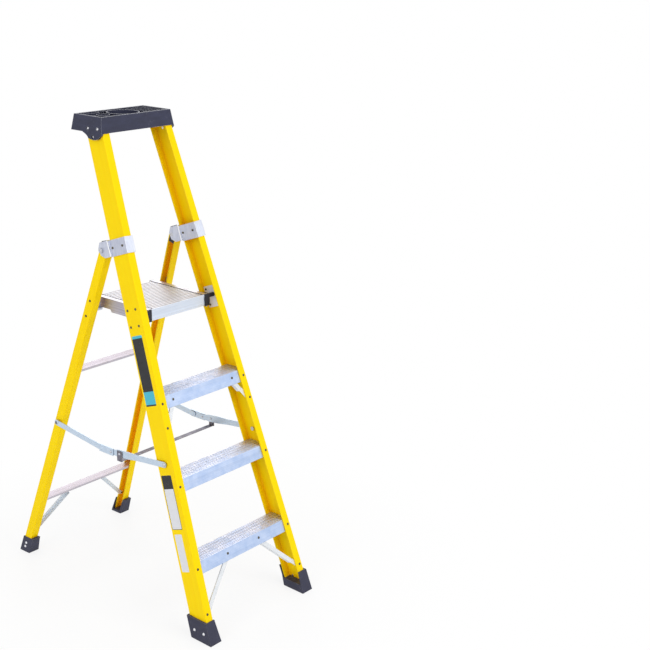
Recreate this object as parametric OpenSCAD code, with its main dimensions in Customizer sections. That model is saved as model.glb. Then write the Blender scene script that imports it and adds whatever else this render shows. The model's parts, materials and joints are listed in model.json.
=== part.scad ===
// Platform step ladder: three treads, a tilting platform, a guard frame with a tool tray on top,
// a hinged rear frame and a folding spreader on each side.
// Millimetres. X across, left is -X. Y from front to back, the climber stands at -Y. Z up.

/* [Overall] */
// Height to the top of the tray
total_height = 1637; // [1620:1:1660]
// Lean of the front frame from upright, in degrees
front_lean = 19.4; // [19:0.1:19.8]
// Lean of the rear frame from upright, in degrees
rear_lean = 19.35; // [19:0.05:19.7]
// Width over the front stiles at the ground
front_base_width = 489; // [480:1:498]
// Width over the rear stiles at the ground
rear_base_width = 482; // [474:1:490]
// Narrowing of each stile towards the top, in degrees
splay = 3.2; // [3.1:0.05:3.3]

/* [Stiles] */
// Depth of a front stile
stile_depth = 76; // [73:0.5:79]
// Depth of a rear stile
rear_stile_depth = 34; // [32:0.5:37]
// Flange width of a front stile
stile_flange = 28; // [26:0.5:30]
// Flange width of a rear stile
rear_stile_flange = 29; // [27:0.5:30]
// Wall thickness of the stiles
stile_wall = 4; // [3.5:0.1:4.5]

/* [Treads] */
// Height of the lowest tread
first_tread_z = 255; // [245:1:262]
// Rise from one tread to the next
tread_rise = 259; // [254:1:261]
// Height of a tread's front wall
tread_height = 40; // [36:1:44]
// Sheet thickness of a tread
tread_wall = 2.2; // [1.8:0.1:2.6]
// Spacing of the grip ridges
ridge_pitch = 7.4; // [6:0.2:9]

/* [Platform] */
// Height of the platform surface
platform_z = 1032; // [1026:1:1038]
// Depth of the platform from front to back
platform_depth = 261; // [255:1:266]
// Half width of the platform over its side rails
platform_half_width = 134.5; // [128:0.5:135]
// Height of the platform's front face
fascia_height = 40; // [37:1:43]
// Height of the side rails at the back
rail_height = 36; // [33:1:38]
// How much deeper the side rails are at the front
rail_front_extra = 9; // [6:0.5:10]
// Width of the side rails' top edge
rail_top_width = 18; // [14:0.5:22]
// Spacing of the deck's ridges
deck_ridge_pitch = 13.4; // [11:0.2:16]

/* [Hinge] */
// Place of the hinge along the front stile
hinge_along = 1324.5; // [1318:0.5:1331]
// Distance of the hinge pin behind the front stile
hinge_setback = 43.3; // [42:0.1:46]
// Length of the hinge bracket along the stile
bracket_length = 54; // [50:1:58]
// Sheet thickness of the brackets
bracket_sheet = 3; // [2.6:0.1:3.2]
// Diameter of the hinge bolt
hinge_bolt_d = 10; // [8:0.5:12]

/* [Spreader] */
// Height of the spreader's bolts along the front stile
stay_front_along = 603.7; // [598:0.5:608]
// Height of the spreader's bolts along the rear stile
stay_rear_along = 584.5; // [581:0.5:588]
// Width of a spreader arm
stay_width = 20; // [18:0.5:22]
// Thickness of a spreader arm
stay_sheet = 2.5; // [2:0.1:2.8]
// Distance between the two rivets of a spreader link
link_pitch = 47; // [44:0.5:50]
// Width of the tie bar
tie_width = 18; // [15:0.5:21]

/* [Top tray] */
// Depth of the tray from front to back
cap_depth = 134; // [131:0.5:138]
// Height of the tray's skirt
cap_height = 51.7; // [49:0.5:56]
// Depth of the tray's recess
tray_recess = 9; // [7:0.5:12]
// Radius of the round well in the tray
well_radius = 51; // [46:0.5:53]
// Radius of the small round recess beside it
side_well_radius = 20; // [16:0.5:22]

/* [Feet] */
// Height of the front shoes
front_shoe_height = 71; // [66:1:76]
// Height of the rear shoes
rear_shoe_height = 61; // [57:1:66]
// Width of a front shoe's sole
front_sole_width = 49; // [46:1:52]
// Width of a rear shoe's sole
rear_sole_width = 44; // [41:1:47]

/* [Rivets] */
// Diameter of the rivets
rivet_d = 6; // [5:0.25:6.5]
// Diameter of the rivet heads on the frames
rivet_head_d = 9; // [8:0.25:11]
// Diameter of the rivet heads on the tray and the shoes
wide_head_d = 10.5; // [9.5:0.25:12]

/* [Hidden] */
$fn = 48;
left = -1;
right = 1;
gap = 0.3;        // between pieces that lie on each other
run_fit = 0.05;   // radial clearance of a pin or shank in its hole
far = 2000;       // longer than anything that is cut with it
rivet_head_h = 2.2;
rivet_tail_h = 1.6;
bolt_sink = 2;                 // countersink in which the hinge bolt's inner end is set
cap_seat = 4;                  // thickness of the tray's side wall under a rivet head

front_half = front_base_width / 2;
rear_half = rear_base_width / 2;

// hinge pin, seen from the foot of the front frame's face
hinge_d = stile_depth + hinge_setback;
hinge_from_foot_y = hinge_d * cos(front_lean) + hinge_along * sin(front_lean);
hinge_z = hinge_along * cos(front_lean) - hinge_d * sin(front_lean);
rear_hinge_along = (hinge_z - rear_stile_depth / 2 * sin(rear_lean)) / cos(rear_lean);
rear_top_along = rear_hinge_along + 24;
rear_foot_from_hinge_y = rear_hinge_along * sin(rear_lean) - rear_stile_depth / 2 * cos(rear_lean);

front_shoe_overhang = 5.2;
front_shoe_side = 7.7;
rear_shoe_overhang = 10.5;
rear_shoe_side = 2.6;
rear_shoe_back = 3.6;
shoe_span = front_shoe_overhang / cos(front_lean) + hinge_from_foot_y + rear_foot_from_hinge_y
    + (rear_stile_depth + rear_shoe_back) / cos(rear_lean);
front_foot_y = front_shoe_overhang / cos(front_lean) - shoe_span / 2;
hinge_y = front_foot_y + hinge_from_foot_y;

// heights of the three treads
tread_z = [first_tread_z, first_tread_z + tread_rise, first_tread_z + 2 * tread_rise];

// ---------------------------------------------------------------- frames of reference

module sided(side) {
    if (side == left) children();
    else mirror([1, 0, 0]) children();
}

// front frame: Y is depth behind its front face, Z runs up along it
module on_front() translate([0, front_foot_y, 0]) rotate([-front_lean, 0, 0]) children();

// one front stile: X points inwards from the outer face of its web
module front_side(side)
    on_front() sided(side) translate([-front_half, 0, 0]) rotate([0, splay, 0]) children();

// rear frame: Y is depth behind its front face, Z runs up along it
module on_rear()
    translate([0, hinge_y, hinge_z]) rotate([rear_lean, 0, 0])
        translate([0, -rear_stile_depth / 2, -rear_hinge_along]) children();

module rear_side(side)
    on_rear() sided(side) translate([-rear_half, 0, 0]) rotate([0, splay, 0]) children();

// a section drawn in Y and Z, drawn out along X
module along_x(from, to) translate([from, 0, 0]) rotate([90, 0, 90]) linear_extrude(to - from) children();

// a level slice of the world
module level_slice(from, to) translate([-far / 2, -far / 2, from]) cube([far, far, to - from]);

// outer half width of the webs at a place along each frame
function front_web(along) = front_half - along * tan(splay);
function rear_web(along) = rear_half - along * tan(splay);
// X and Z in a frame of a point on its left stile, inwards from the web and up along it
function stile_point(half, inwards, along) = [
    -half + inwards * cos(splay) + along * sin(splay),
    along * cos(splay) - inwards * sin(splay)
];
// places on the front frame's face
function front_y(d, along) = front_foot_y + d * cos(front_lean) + along * sin(front_lean);
function front_z(d, along) = along * cos(front_lean) - d * sin(front_lean);
function front_along(d, z) = (z + d * sin(front_lean)) / cos(front_lean);
function rear_y(d, along) = hinge_y + (d - rear_stile_depth / 2) * cos(rear_lean)
    - (along - rear_hinge_along) * sin(rear_lean);
function rear_z(d, along) = hinge_z + (d - rear_stile_depth / 2) * sin(rear_lean)
    + (along - rear_hinge_along) * cos(rear_lean);
function rear_along(d, z) = (z - d * sin(rear_lean)) / cos(rear_lean);

// ---------------------------------------------------------------- rivets

// A set rivet: its head rises from z = 0, its shank goes down through grip
module rivet(grip, head_d = rivet_head_d, shank_d = rivet_d) {
    cylinder(h = rivet_head_h, d1 = head_d, d2 = head_d * 0.62);
    translate([0, 0, -grip]) cylinder(h = grip + rivet_head_h / 2, d = shank_d - 2 * run_fit);
    translate([0, 0, -grip - rivet_tail_h]) cylinder(h = rivet_tail_h, d = head_d * 0.8);
}

module rivet_hole(reach, shank_d = rivet_d)
    translate([0, 0, -reach]) cylinder(h = 2 * reach, d = shank_d);

// turn the children from +Z to point out of a web, out of a front flange or out of a rear flange
module out_of_web() rotate([0, -90, 0]) children();
module out_of_front() rotate([90, 0, 0]) children();
module out_of_rear() rotate([-90, 0, 0]) children();

// ---------------------------------------------------------------- shared places

flange_rivet_in = 11;          // from the web's outer face
tread_rivet_drop = 19;         // below the tread's surface
function tread_rivet_along(index, d) = front_along(d, tread_z[index] - tread_rivet_drop);

hinge_rivets = [[15.5, 0], [65, 0]];

platform_stud_d = stile_depth / 2 - 4;
platform_stud_z = platform_z - 12.5;
platform_stud_along = front_along(platform_stud_d, platform_stud_z);
platform_bracket_rivets_at = [[21.5, 23], [21.5, -32], [62, 23], [62, -32]];

cap_bottom = total_height - cap_height;
stile_top = total_height - 25;
cap_rivet_z = [total_height - 37.6, total_height - 36.6, total_height - 63];
cap_rivet_d = [58, 14, 41];
cap_rivets_at = [for (i = [0:2]) [cap_rivet_d[i], front_along(cap_rivet_d[i], cap_rivet_z[i])]];

front_sole = 27;
rear_sole = 8;
front_shoe_rivets_at = [[17, 40], [58, 54]];
rear_shoe_rivets_at = [[rear_stile_depth / 2, 33], [rear_stile_depth / 2, 17]];

stay_front_d = stile_depth / 2;
stay_rear_d = rear_stile_depth / 2;

rest_rivets = [41.5, -17.5];   // above and below the rest pin, along the stile

// ---------------------------------------------------------------- front stiles

// Channel section, its web at x = 0 and its flanges pointing to +X
module channel(depth, flange, wall) {
    corner = 2;
    difference() {
        union() {
            translate([corner, 0]) square([flange - corner, depth]);
            translate([0, corner]) square([flange, depth - 2 * corner]);
            translate([corner, corner]) circle(corner);
            translate([corner, depth - corner]) circle(corner);
        }
        translate([wall, wall]) square([flange, depth - 2 * wall]);
    }
}

module front_stile(side) color("gold")
    difference() {
        intersection() {
            front_side(side) translate([0, 0, -60])
                linear_extrude(far) channel(stile_depth, stile_flange, stile_wall);
            level_slice(front_sole + gap, stile_top);
        }
        front_side(side) stile_holes();
        on_front() translate([0, stay_front_d, stay_front_along]) out_of_web() rivet_hole(far, stay_bolt_d);
    }

module stile_holes() {
    for (index = [0:2], d = [0, stile_depth])
        translate([flange_rivet_in, d, tread_rivet_along(index, d)]) out_of_front() rivet_hole(8);
    for (along = knee_foot_along) translate([flange_rivet_in, 0, along]) out_of_front() rivet_hole(8);
    for (r = hinge_rivets) translate([0, r[0], hinge_along + r[1]]) out_of_web() rivet_hole(12);
    for (r = platform_bracket_rivets_at)
        translate([0, r[0], platform_stud_along + r[1]]) out_of_web() rivet_hole(12);
    for (r = cap_rivets_at) translate([0, r[0], r[1]]) out_of_web() rivet_hole(14);
    for (r = front_shoe_rivets_at) translate([0, r[0], r[1]]) out_of_web() rivet_hole(12);
}

// ---------------------------------------------------------------- treads

tread_inset = (stile_wall + gap) / cos(front_lean);
tread_run = stile_depth / cos(front_lean) - 2 * tread_inset;
ridge_height = 1.2;
ridge_width = 2.8;
tread_lip = 12;
tread_rib = 4;                 // depth of the stiffening ribs under the tread's top

// The line over a row of ridges, seen from the side
function ridge_line(start, ridges, pitch) = [
    for (i = [0:ridges], corner = [[0, 0], [0, ridge_height], [ridge_width, ridge_height], [ridge_width, 0]])
        [start + i * pitch + corner[0], corner[1]]
];

// Section of a tread in Y and Z, its front top edge at the origin. Its walls lean with the stiles
module tread_section() {
    slope = tan(front_lean);
    wall = tread_wall;
    wall_run = wall / cos(front_lean);
    drop = tread_height - wall;
    ridges = floor((tread_run - 2 * ridge_width) / ridge_pitch);
    start = (tread_run - ridges * ridge_pitch - ridge_width) / 2;
    difference() {
        polygon(concat(
            [[-tread_height * slope, -tread_height], [0, 0]],
            ridge_line(start, ridges, ridge_pitch),
            [[tread_run, 0], [tread_run - tread_height * slope, -tread_height]]
        ));
        difference() {
            polygon([
                [wall_run - wall * slope, -wall],
                [tread_run - wall_run - wall * slope, -wall],
                [tread_run - wall_run - drop * slope, -drop],
                [wall_run - drop * slope, -drop]
            ]);
            for (share = [1 / 3, 2 / 3])
                translate([tread_run * share - 2, -wall - tread_rib]) square([3, tread_rib + 1]);
        }
        polygon([
            [tread_lip - drop * slope, -drop + 1],
            [tread_run - tread_lip - drop * slope, -drop + 1],
            [tread_run - tread_lip - tread_height * slope, -tread_height - 1],
            [tread_lip - tread_height * slope, -tread_height - 1]
        ]);
    }
}

// the room between the two webs of the front frame
module between_webs(clearance)
    on_front() rotate([90, 0, 0]) translate([0, 0, -far / 2]) linear_extrude(far)
        polygon([
            [-front_half + clearance, 0],
            [front_half - clearance, 0],
            [front_half - clearance - far * tan(splay), far],
            [-front_half + clearance + far * tan(splay), far]
        ]);

// underside of the ridges, and the stiles' front face at that height
function tread_top(index) = tread_z[index] - ridge_height;
function tread_front_y(index) = front_y(0, front_along(0, tread_top(index)));

module tread(index) color("silver")
    difference() {
        intersection() {
            translate([0, tread_front_y(index) + tread_inset, tread_top(index)])
                along_x(-front_half, front_half) tread_section();
            between_webs((stile_wall + gap) / cos(splay));
        }
        for (side = [left, right]) {
            front_side(side) for (d = [0, stile_depth])
                translate([flange_rivet_in, d, tread_rivet_along(index, d)])
                    out_of_front() rivet_hole(9);
            on_front() sided(side) for (knee = [0, 1]) if (knee_tread[knee] == index) {
                translate([knee_heads[knee][0], 0, knee_heads[knee][1]]) out_of_front() rivet_hole(12);
                tread_notch(knee);
            }
        }
    }

// ---------------------------------------------------------------- cleats under the tread ends

cleat_sheet = 2.5;
cleat_leg = 22;
cleat_tab_d = stile_wall + 2 * gap + tread_wall;
tread_rivet_grip = cleat_tab_d + cleat_sheet;

// a level band of the tread's hollow, between its ribs and its bottom lips
module cleat_band(index, below)
    level_slice(tread_top(index) - tread_height + below, tread_top(index) - tread_wall - tread_rib - gap);

// A pressed cleat in each end of the tread: two tabs on the tread's walls, joined along the web
module tread_cleats() color("lightgray")
    for (side = [left, right], index = [0:2]) difference() {
        intersection() {
            front_side(side) translate([stile_wall + gap, cleat_tab_d, 0]) difference() {
                cube([cleat_leg, stile_depth - 2 * cleat_tab_d, far]);
                translate([cleat_sheet, cleat_sheet, -1])
                    cube([cleat_leg, stile_depth - 2 * cleat_tab_d - 2 * cleat_sheet, far + 2]);
            }
            cleat_band(index, tread_wall + gap);
        }
        front_side(side) for (d = [0, stile_depth])
            translate([flange_rivet_in, d, tread_rivet_along(index, d)]) out_of_front() rivet_hole(14);
    }

module tread_rivets() color("silver")
    for (side = [left, right], index = [0:2]) front_side(side) {
        translate([flange_rivet_in, 0, tread_rivet_along(index, 0)]) out_of_front() rivet(tread_rivet_grip);
        translate([flange_rivet_in, stile_depth, tread_rivet_along(index, stile_depth)])
            out_of_rear() rivet(tread_rivet_grip);
    }

// ---------------------------------------------------------------- knee braces

brace_pad = 13;                // width of a brace's round ends
brace_below = 12;              // how far its web reaches below the line of its rivets
brace_above = 3;               // and above that line
brace_flange = 13;             // depth of its folded lower edge
brace_lip = 4;                 // and of its folded upper edge
brace_sheet = 2;
brace_drop_lower = 150;        // from the tread's rivets down to the brace's foot, along the stile
brace_drop_upper = 80;
brace_reach_lower = 152.5;     // from a brace's foot in to its head
brace_reach_upper = 56;

knee_tread = [0, 2];           // the treads that carry a pair of braces
knee_foot_along = [
    tread_rivet_along(knee_tread[0], 0) - brace_drop_lower,
    tread_rivet_along(knee_tread[1], 0) - brace_drop_upper
];
// foot and head of each left brace, in X and Z of the front frame
knee_feet = [for (along = knee_foot_along) stile_point(front_half, flange_rivet_in, along)];
knee_heads = [
    [knee_feet[0][0] + brace_reach_lower, tread_rivet_along(knee_tread[0], 0) + 1],
    [knee_feet[1][0] + brace_reach_upper, tread_rivet_along(knee_tread[1], 0) + 1]
];
brace_foot_d = stile_wall + gap + brace_sheet;  // back of a brace's foot, which lies behind the flange
brace_step = tread_wall + gap;                  // from there back to the tread's wall

function brace_turn(foot, head) = atan2(head[1] - foot[1], head[0] - foot[0]);

// Web of a brace from x = 0 to x = run: round pads on the rivets, a straight strip between them
module brace_outline(run) {
    pad = brace_pad / 2;
    union() {
        for (x = [0, run]) translate([x, 0]) circle(pad);
        polygon([
            [0, -pad], [brace_pad, -brace_below], [run - brace_pad, -brace_below], [run, -pad],
            [run, pad], [run - brace_pad, brace_above], [brace_pad, brace_above], [0, pad]
        ]);
    }
}

// A brace in a frame's X-Z plane from its foot on a stile flange to its head on a cross piece.
// It lies behind the flange, steps back behind the cross piece, and its long edges are folded back.
module knee_brace(foot, head, flange_reach, step) {
    run = norm(head - foot);
    turn = brace_turn(foot, head);
    step_x = flange_reach / cos(turn) + brace_pad / 2 * tan(turn) + 6;
    translate([foot[0], 0, foot[1]]) rotate([0, -turn, 0]) difference() {
        union() {
            intersection() {
                rotate([90, 0, 0]) linear_extrude(brace_sheet) brace_outline(run);
                translate([-brace_pad, -brace_sheet, -brace_pad])
                    cube([brace_pad + step_x, brace_sheet, 2 * brace_pad]);
            }
            translate([step_x - brace_sheet, -brace_sheet, -brace_below])
                cube([brace_sheet, step + brace_sheet, brace_below + brace_above]);
            intersection() {
                translate([0, step, 0]) rotate([90, 0, 0]) linear_extrude(brace_sheet) brace_outline(run);
                translate([step_x - brace_sheet, step - brace_sheet, -brace_pad])
                    cube([run, brace_sheet, 2 * brace_pad]);
            }
            translate([step_x, step - brace_sheet, -brace_below])
                cube([run - step_x - brace_pad, brace_flange, brace_sheet]);
            translate([step_x, step - brace_sheet, brace_above - brace_sheet])
                cube([run - step_x - brace_pad, brace_lip, brace_sheet]);
        }
        for (x = [0, run]) translate([x, 0, 0]) rotate([90, 0, 0]) rivet_hole(12);
    }
}

module front_brace(side, knee) color("lightgray")
    on_front() translate([0, brace_foot_d, 0]) sided(side)
        knee_brace(knee_feet[knee], knee_heads[knee], stile_flange - flange_rivet_in, brace_step);

// the opening in a tread's lower lip through which a brace goes up behind the tread's wall
module tread_notch(knee) {
    room = 1.5;
    translate([knee_heads[knee][0], stile_wall + gap + tread_wall, knee_heads[knee][1]])
        rotate([0, -brace_turn(knee_feet[knee], knee_heads[knee]), 0])
            translate([-tread_height - brace_below - brace_pad, 0, -brace_below - room])
                cube([tread_height + brace_below, brace_flange + 2 * room, brace_below + brace_pad / 2 + 2 * room]);
}

module knee_brace_rivets() color("silver")
    for (side = [left, right], knee = [0, 1]) {
        front_side(side) translate([flange_rivet_in, 0, knee_foot_along[knee]])
            out_of_front() rivet(brace_foot_d);
        on_front() sided(side) translate([knee_heads[knee][0], stile_wall + gap, knee_heads[knee][1]])
            out_of_front() rivet(brace_step + brace_sheet);
    }

// ---------------------------------------------------------------- top tray

cap_flare = 0.15;              // how far the skirt spreads for each unit of drop
cap_wall = 2.6;
cap_half_top = front_web(front_along(0, total_height)) + 2.6;
cap_front_y = front_y(0, front_along(0, total_height)) - 14;
lobe_height = 22;              // how far the side tongues hang below the skirt
lobe_radius = 80;              // of a tongue's lower edge
lobe_y = cap_front_y + 30;     // middle of a tongue
well_depth = 22;
rim = 7;
rib_sheet = 1.8;               // of the thin walls in the tray
rib_drop = 1.9;                // from the rim down to their tops
well_wall = 4;
side_well_x = -92;
tray_middle_y = cap_front_y + cap_depth / 2;
side_well_y = tray_middle_y - 8;
cell_x = [for (i = [0:4]) 62 + 19 * i];
comb_x = [for (i = [0:4]) -64 + 11 * i];
pocket_x = [-126, -68];        // the long pocket at the back, left
pocket_y = tray_middle_y + 39;

// The tray's outer form, taken in by inset and carried down by drop
module cap_form(inset, drop) {
    half_x = cap_half_top - inset;
    front = cap_front_y + inset;
    back = cap_front_y + cap_depth - inset;
    spread = drop * cap_flare;
    intersection() {
        rotate([90, 0, 0]) translate([0, 0, -far / 2]) linear_extrude(far) polygon([
            [-half_x, total_height], [half_x, total_height],
            [half_x + spread, total_height - drop], [-half_x - spread, total_height - drop]
        ]);
        along_x(-far / 2, far / 2) polygon([
            [front, total_height], [back, total_height],
            [back + spread, total_height - drop], [front - spread, total_height - drop]
        ]);
    }
}

module outside_webs()
    for (side = [left, right]) front_side(side)
        translate([-40 - gap, -100, 0]) cube([40, 400, far]);

// a straight wall on the tray's floor, between two corners
module tray_rib(from, to)
    translate([from[0] - rib_sheet / 2, from[1] - rib_sheet / 2, total_height - tray_recess - 0.1])
        cube([to[0] - from[0] + rib_sheet, to[1] - from[1] + rib_sheet, tray_recess - rib_drop]);

// a round wall on the tray's floor
module tray_ring(x, y, radius, wall)
    translate([x, y, total_height - tray_recess - 0.1]) difference() {
        cylinder(h = tray_recess - rib_drop, r = radius + wall);
        translate([0, 0, -1]) cylinder(h = far, r = radius);
    }

module tray_walls() {
    back = cap_front_y + cap_depth;
    tray_ring(0, tray_middle_y, well_radius, well_wall);
    tray_ring(side_well_x, side_well_y, side_well_radius, rib_sheet);
    for (x = cell_x) tray_rib([x, cap_front_y], [x, back]);
    for (x = comb_x) tray_rib([x, pocket_y + 8], [x, back]);
    for (x = pocket_x) tray_rib([x, pocket_y], [x, back]);
    tray_rib([pocket_x[0], pocket_y], [pocket_x[1], pocket_y]);
}

// outline of a side tongue in Y and Z: its flanks, longer at the back, above its round lower edge
module lobe_outline() {
    skirt = total_height - cap_height;
    polygon([
        [lobe_y - 52, skirt + 5],
        [lobe_y - 27, total_height - 65],
        [lobe_y - 22, skirt - lobe_height],
        [lobe_y + 22, skirt - lobe_height],
        [lobe_y + 27, total_height - 67],
        [lobe_y + 35, total_height - 61],
        [lobe_y + 48, total_height - 55],
        [lobe_y + 66, skirt + 1]
    ]);
}

module top_tray() color("midnightblue") {
    floor_z = total_height - tray_recess;
    difference() {
        union() {
            difference() {
                cap_form(0, cap_height);
                translate([0, 0, -tray_recess - cap_wall]) intersection() {
                    cap_form(cap_wall, cap_height);
                    level_slice(0, far);
                }
                difference() {
                    cap_form(cap_wall, cap_height);
                    level_slice(floor_z - cap_wall, far);
                }
            }
            intersection() {
                cap_form(0, cap_height);
                outside_webs();
            }
            intersection() {
                cap_form(0, cap_height + lobe_height);
                outside_webs();
                along_x(-far / 2, far / 2) lobe_outline();
                translate([-far / 2, lobe_y, total_height - cap_height - lobe_height + lobe_radius])
                    rotate([0, 90, 0]) cylinder(h = far, r = lobe_radius);
            }
            translate([0, tray_middle_y, total_height - well_depth - cap_wall])
                cylinder(h = well_depth, r = well_radius + cap_wall);
        }
        // the open tray, leaving its rim and its thin walls
        difference() {
            translate([-cap_half_top + rim, cap_front_y + rim, floor_z])
                cube([2 * (cap_half_top - rim), cap_depth - 2 * rim, tray_recess + 1]);
            tray_walls();
        }
        translate([0, tray_middle_y, total_height - well_depth]) cylinder(h = well_depth + 1, r = well_radius);
        for (side = [left, right], r = cap_rivets_at)
            front_side(side) translate([0, r[0], r[1]]) out_of_web() {
                rivet_hole(14);
                translate([0, 0, cap_seat]) cylinder(h = 20, d = wide_head_d + 1.5);
            }
    }
}

module top_tray_rivets() color("silver")
    for (side = [left, right], r = cap_rivets_at)
        front_side(side) translate([-cap_seat, r[0], r[1]]) out_of_web() rivet(cap_seat + stile_wall, wide_head_d);

// ---------------------------------------------------------------- hinge brackets and bolts

hinge_side_room = 3.5;         // between the outer pivot plate and the wider frame
bracket_low = hinge_along - bracket_length / 2 - 1;
bracket_high = bracket_low + bracket_length;
hinge_plate_out = max(front_web(hinge_along), rear_web(rear_hinge_along - bracket_length)) + hinge_side_room;
hinge_plate_in = rear_web(rear_top_along) - rear_stile_flange - 2 * gap;
bracket_back_d = stile_depth + gap;     // the strips behind the stile that carry the pivot plates
// each strip reaches from its pivot plate to the bracket's own side wall, whichever lies further in
strip_out = [hinge_plate_out + bracket_sheet, front_web(bracket_high)];
strip_in = [
    max(hinge_plate_in, front_web(bracket_low) - stile_flange),
    min(hinge_plate_in, front_web(bracket_high) - stile_flange - gap) - bracket_sheet
];

// the pivot plate behind the stile, in depth and along
module pivot_plate(from_d) {
    low = -bracket_length / 2 - 1;
    high = bracket_length / 2 - 1;
    polygon([
        [from_d, low],
        [hinge_d - 12, low],
        [hinge_d + 7, low + 12],
        [hinge_d + 11, high - 18],
        [hinge_d - 2, high],
        [from_d, high]
    ]);
}

module hinge_bracket(side) color("silver")
    difference() {
        union() {
            front_side(side) translate([0, 0, bracket_low]) linear_extrude(bracket_length) difference() {
                translate([-gap - bracket_sheet, -gap - bracket_sheet])
                    square([stile_flange + 2 * gap + 2 * bracket_sheet, stile_depth + gap + bracket_sheet + 3]);
                translate([-gap, -gap]) square([stile_flange + 2 * gap, stile_depth + 20]);
            }
            on_front() sided(side) translate([0, 0, hinge_along]) {
                along_x(-hinge_plate_out - bracket_sheet, -hinge_plate_out) pivot_plate(stile_depth + 1);
                along_x(-hinge_plate_in, -hinge_plate_in + bracket_sheet) pivot_plate(stile_depth + 1);
                for (strip = [strip_out, strip_in])
                    translate([-strip[0], bracket_back_d, bracket_low - hinge_along])
                        cube([strip[0] - strip[1], bracket_sheet - gap, bracket_length]);
            }
        }
        front_side(side) for (r = hinge_rivets)
            translate([0, r[0], hinge_along + r[1]]) out_of_web() rivet_hole(60);
        on_front() sided(side) translate([0, hinge_d, hinge_along]) out_of_web() {
            rivet_hole(far / 2, hinge_bolt_d + 2 * run_fit);
            translate([0, 0, hinge_plate_in - bracket_sheet])
                cylinder(h = bolt_sink, d1 = hinge_bolt_d + 2 * (bolt_sink + run_fit),
                    d2 = hinge_bolt_d + 2 * run_fit);
        }
    }

module hinge_bracket_rivets() color("silver")
    for (side = [left, right], r = hinge_rivets)
        front_side(side) translate([-gap - bracket_sheet, r[0], hinge_along + r[1]])
            out_of_web() rivet(stile_flange + 2 * gap + 2 * bracket_sheet);

module hinge_bolt(side) color("dimgray")
    on_front() sided(side) translate([0, hinge_d, hinge_along]) out_of_web() {
        translate([0, 0, hinge_plate_out + bracket_sheet]) {
            cylinder(h = 4, d = hinge_bolt_d + 7);
            cylinder(h = 5, d1 = hinge_bolt_d + 4, d2 = hinge_bolt_d);
        }
        translate([0, 0, hinge_plate_in - bracket_sheet])
            cylinder(h = hinge_plate_out - hinge_plate_in + 2 * bracket_sheet + 1, d = hinge_bolt_d);
        translate([0, 0, hinge_plate_in - bracket_sheet])
            cylinder(h = bolt_sink, d1 = hinge_bolt_d + 2 * bolt_sink, d2 = hinge_bolt_d);
    }

// ---------------------------------------------------------------- platform brackets and studs

platform_plate = [stile_depth - 2 * stile_wall - 2, 75];
platform_plate_drop = 42;      // from the stud down to the plate's lower edge

module platform_bracket(side) color("dimgray")
    front_side(side) difference() {
        translate([stile_wall + gap, stile_wall + 1, platform_stud_along - platform_plate_drop])
            cube([bracket_sheet, platform_plate[0], platform_plate[1]]);
        for (r = platform_bracket_rivets_at)
            translate([0, r[0], platform_stud_along + r[1]]) out_of_web() rivet_hole(12);
    }

module platform_bracket_rivets() color("silver")
    for (side = [left, right], r = platform_bracket_rivets_at)
        front_side(side) translate([0, r[0], platform_stud_along + r[1]])
            out_of_web() rivet(stile_wall + gap + bracket_sheet);

stud_d = 12;
stud_collar_d = 15;
corner_out = 9;                // how far the front corner pieces stand out from the side rails

module platform_stud(side) color("black")
    difference() {
        on_front() sided(side) translate([0, platform_stud_d, platform_stud_along]) out_of_web() {
            translate([0, 0, platform_half_width - 6]) cylinder(h = 60, d = stud_d);
            translate([0, 0, platform_half_width + corner_out + 2 * gap]) cylinder(h = 54, d = stud_collar_d);
        }
        front_side(side) translate([-60 + stile_wall + bracket_sheet + 2 * gap, -20, 0]) cube([60, 140, far]);
    }

// ---------------------------------------------------------------- shoes

// A shoe for a stile that leans: three walls round it and a sole below, cut level
module shoe(depth, side_wall, front_wall, back_wall, width, height, flange) {
    length = depth + front_wall + back_wall;
    inner = width - side_wall;
    translate([-side_wall, -front_wall, -60]) cube([flange + side_wall, length, far]);
    // the inner side slopes straight from the top of the stile's flange out to the sole
    translate([0, -front_wall, 0]) rotate([-90, 0, 0]) linear_extrude(length)
        polygon([[flange - 4, 60], [inner + 3, 60], [inner, 0], [flange, -height], [flange - 4, -height]]);
}

module shoe_room(depth, flange)
    translate([-gap, -gap, -100]) cube([flange + far, depth + 2 * gap, far + 200]);

module front_shoe(side) color("midnightblue")
    difference() {
        intersection() {
            front_side(side) shoe(stile_depth, front_shoe_side, front_shoe_overhang, front_shoe_overhang,
                front_sole_width, front_shoe_height, stile_flange + 3);
            level_slice(0, front_shoe_height);
        }
        intersection() {
            front_side(side) shoe_room(stile_depth, stile_flange);
            level_slice(front_sole, far);
        }
        front_side(side) for (r = front_shoe_rivets_at) translate([0, r[0], r[1]]) out_of_web() rivet_hole(20);
    }

module front_shoe_rivets() color("silver")
    for (side = [left, right], r = front_shoe_rivets_at)
        front_side(side) translate([-front_shoe_side, r[0], r[1]])
            out_of_web() rivet(front_shoe_side + stile_wall, wide_head_d);

module rear_shoe(side) color("midnightblue")
    difference() {
        intersection() {
            rear_side(side) shoe(rear_stile_depth, rear_shoe_side, rear_shoe_overhang, rear_shoe_back,
                rear_sole_width, rear_shoe_height, rear_stile_flange + 3);
            level_slice(0, rear_shoe_height);
        }
        intersection() {
            rear_side(side) shoe_room(rear_stile_depth, rear_stile_flange);
            level_slice(rear_sole, far);
        }
        rear_side(side) for (r = rear_shoe_rivets_at) translate([0, r[0], r[1]]) out_of_web() rivet_hole(20);
    }

module rear_shoe_rivets() color("silver")
    for (side = [left, right], r = rear_shoe_rivets_at)
        rear_side(side) translate([-rear_shoe_side, r[0], r[1]])
            out_of_web() rivet(rear_shoe_side + stile_wall, wide_head_d);

// ---------------------------------------------------------------- rear frame

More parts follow.
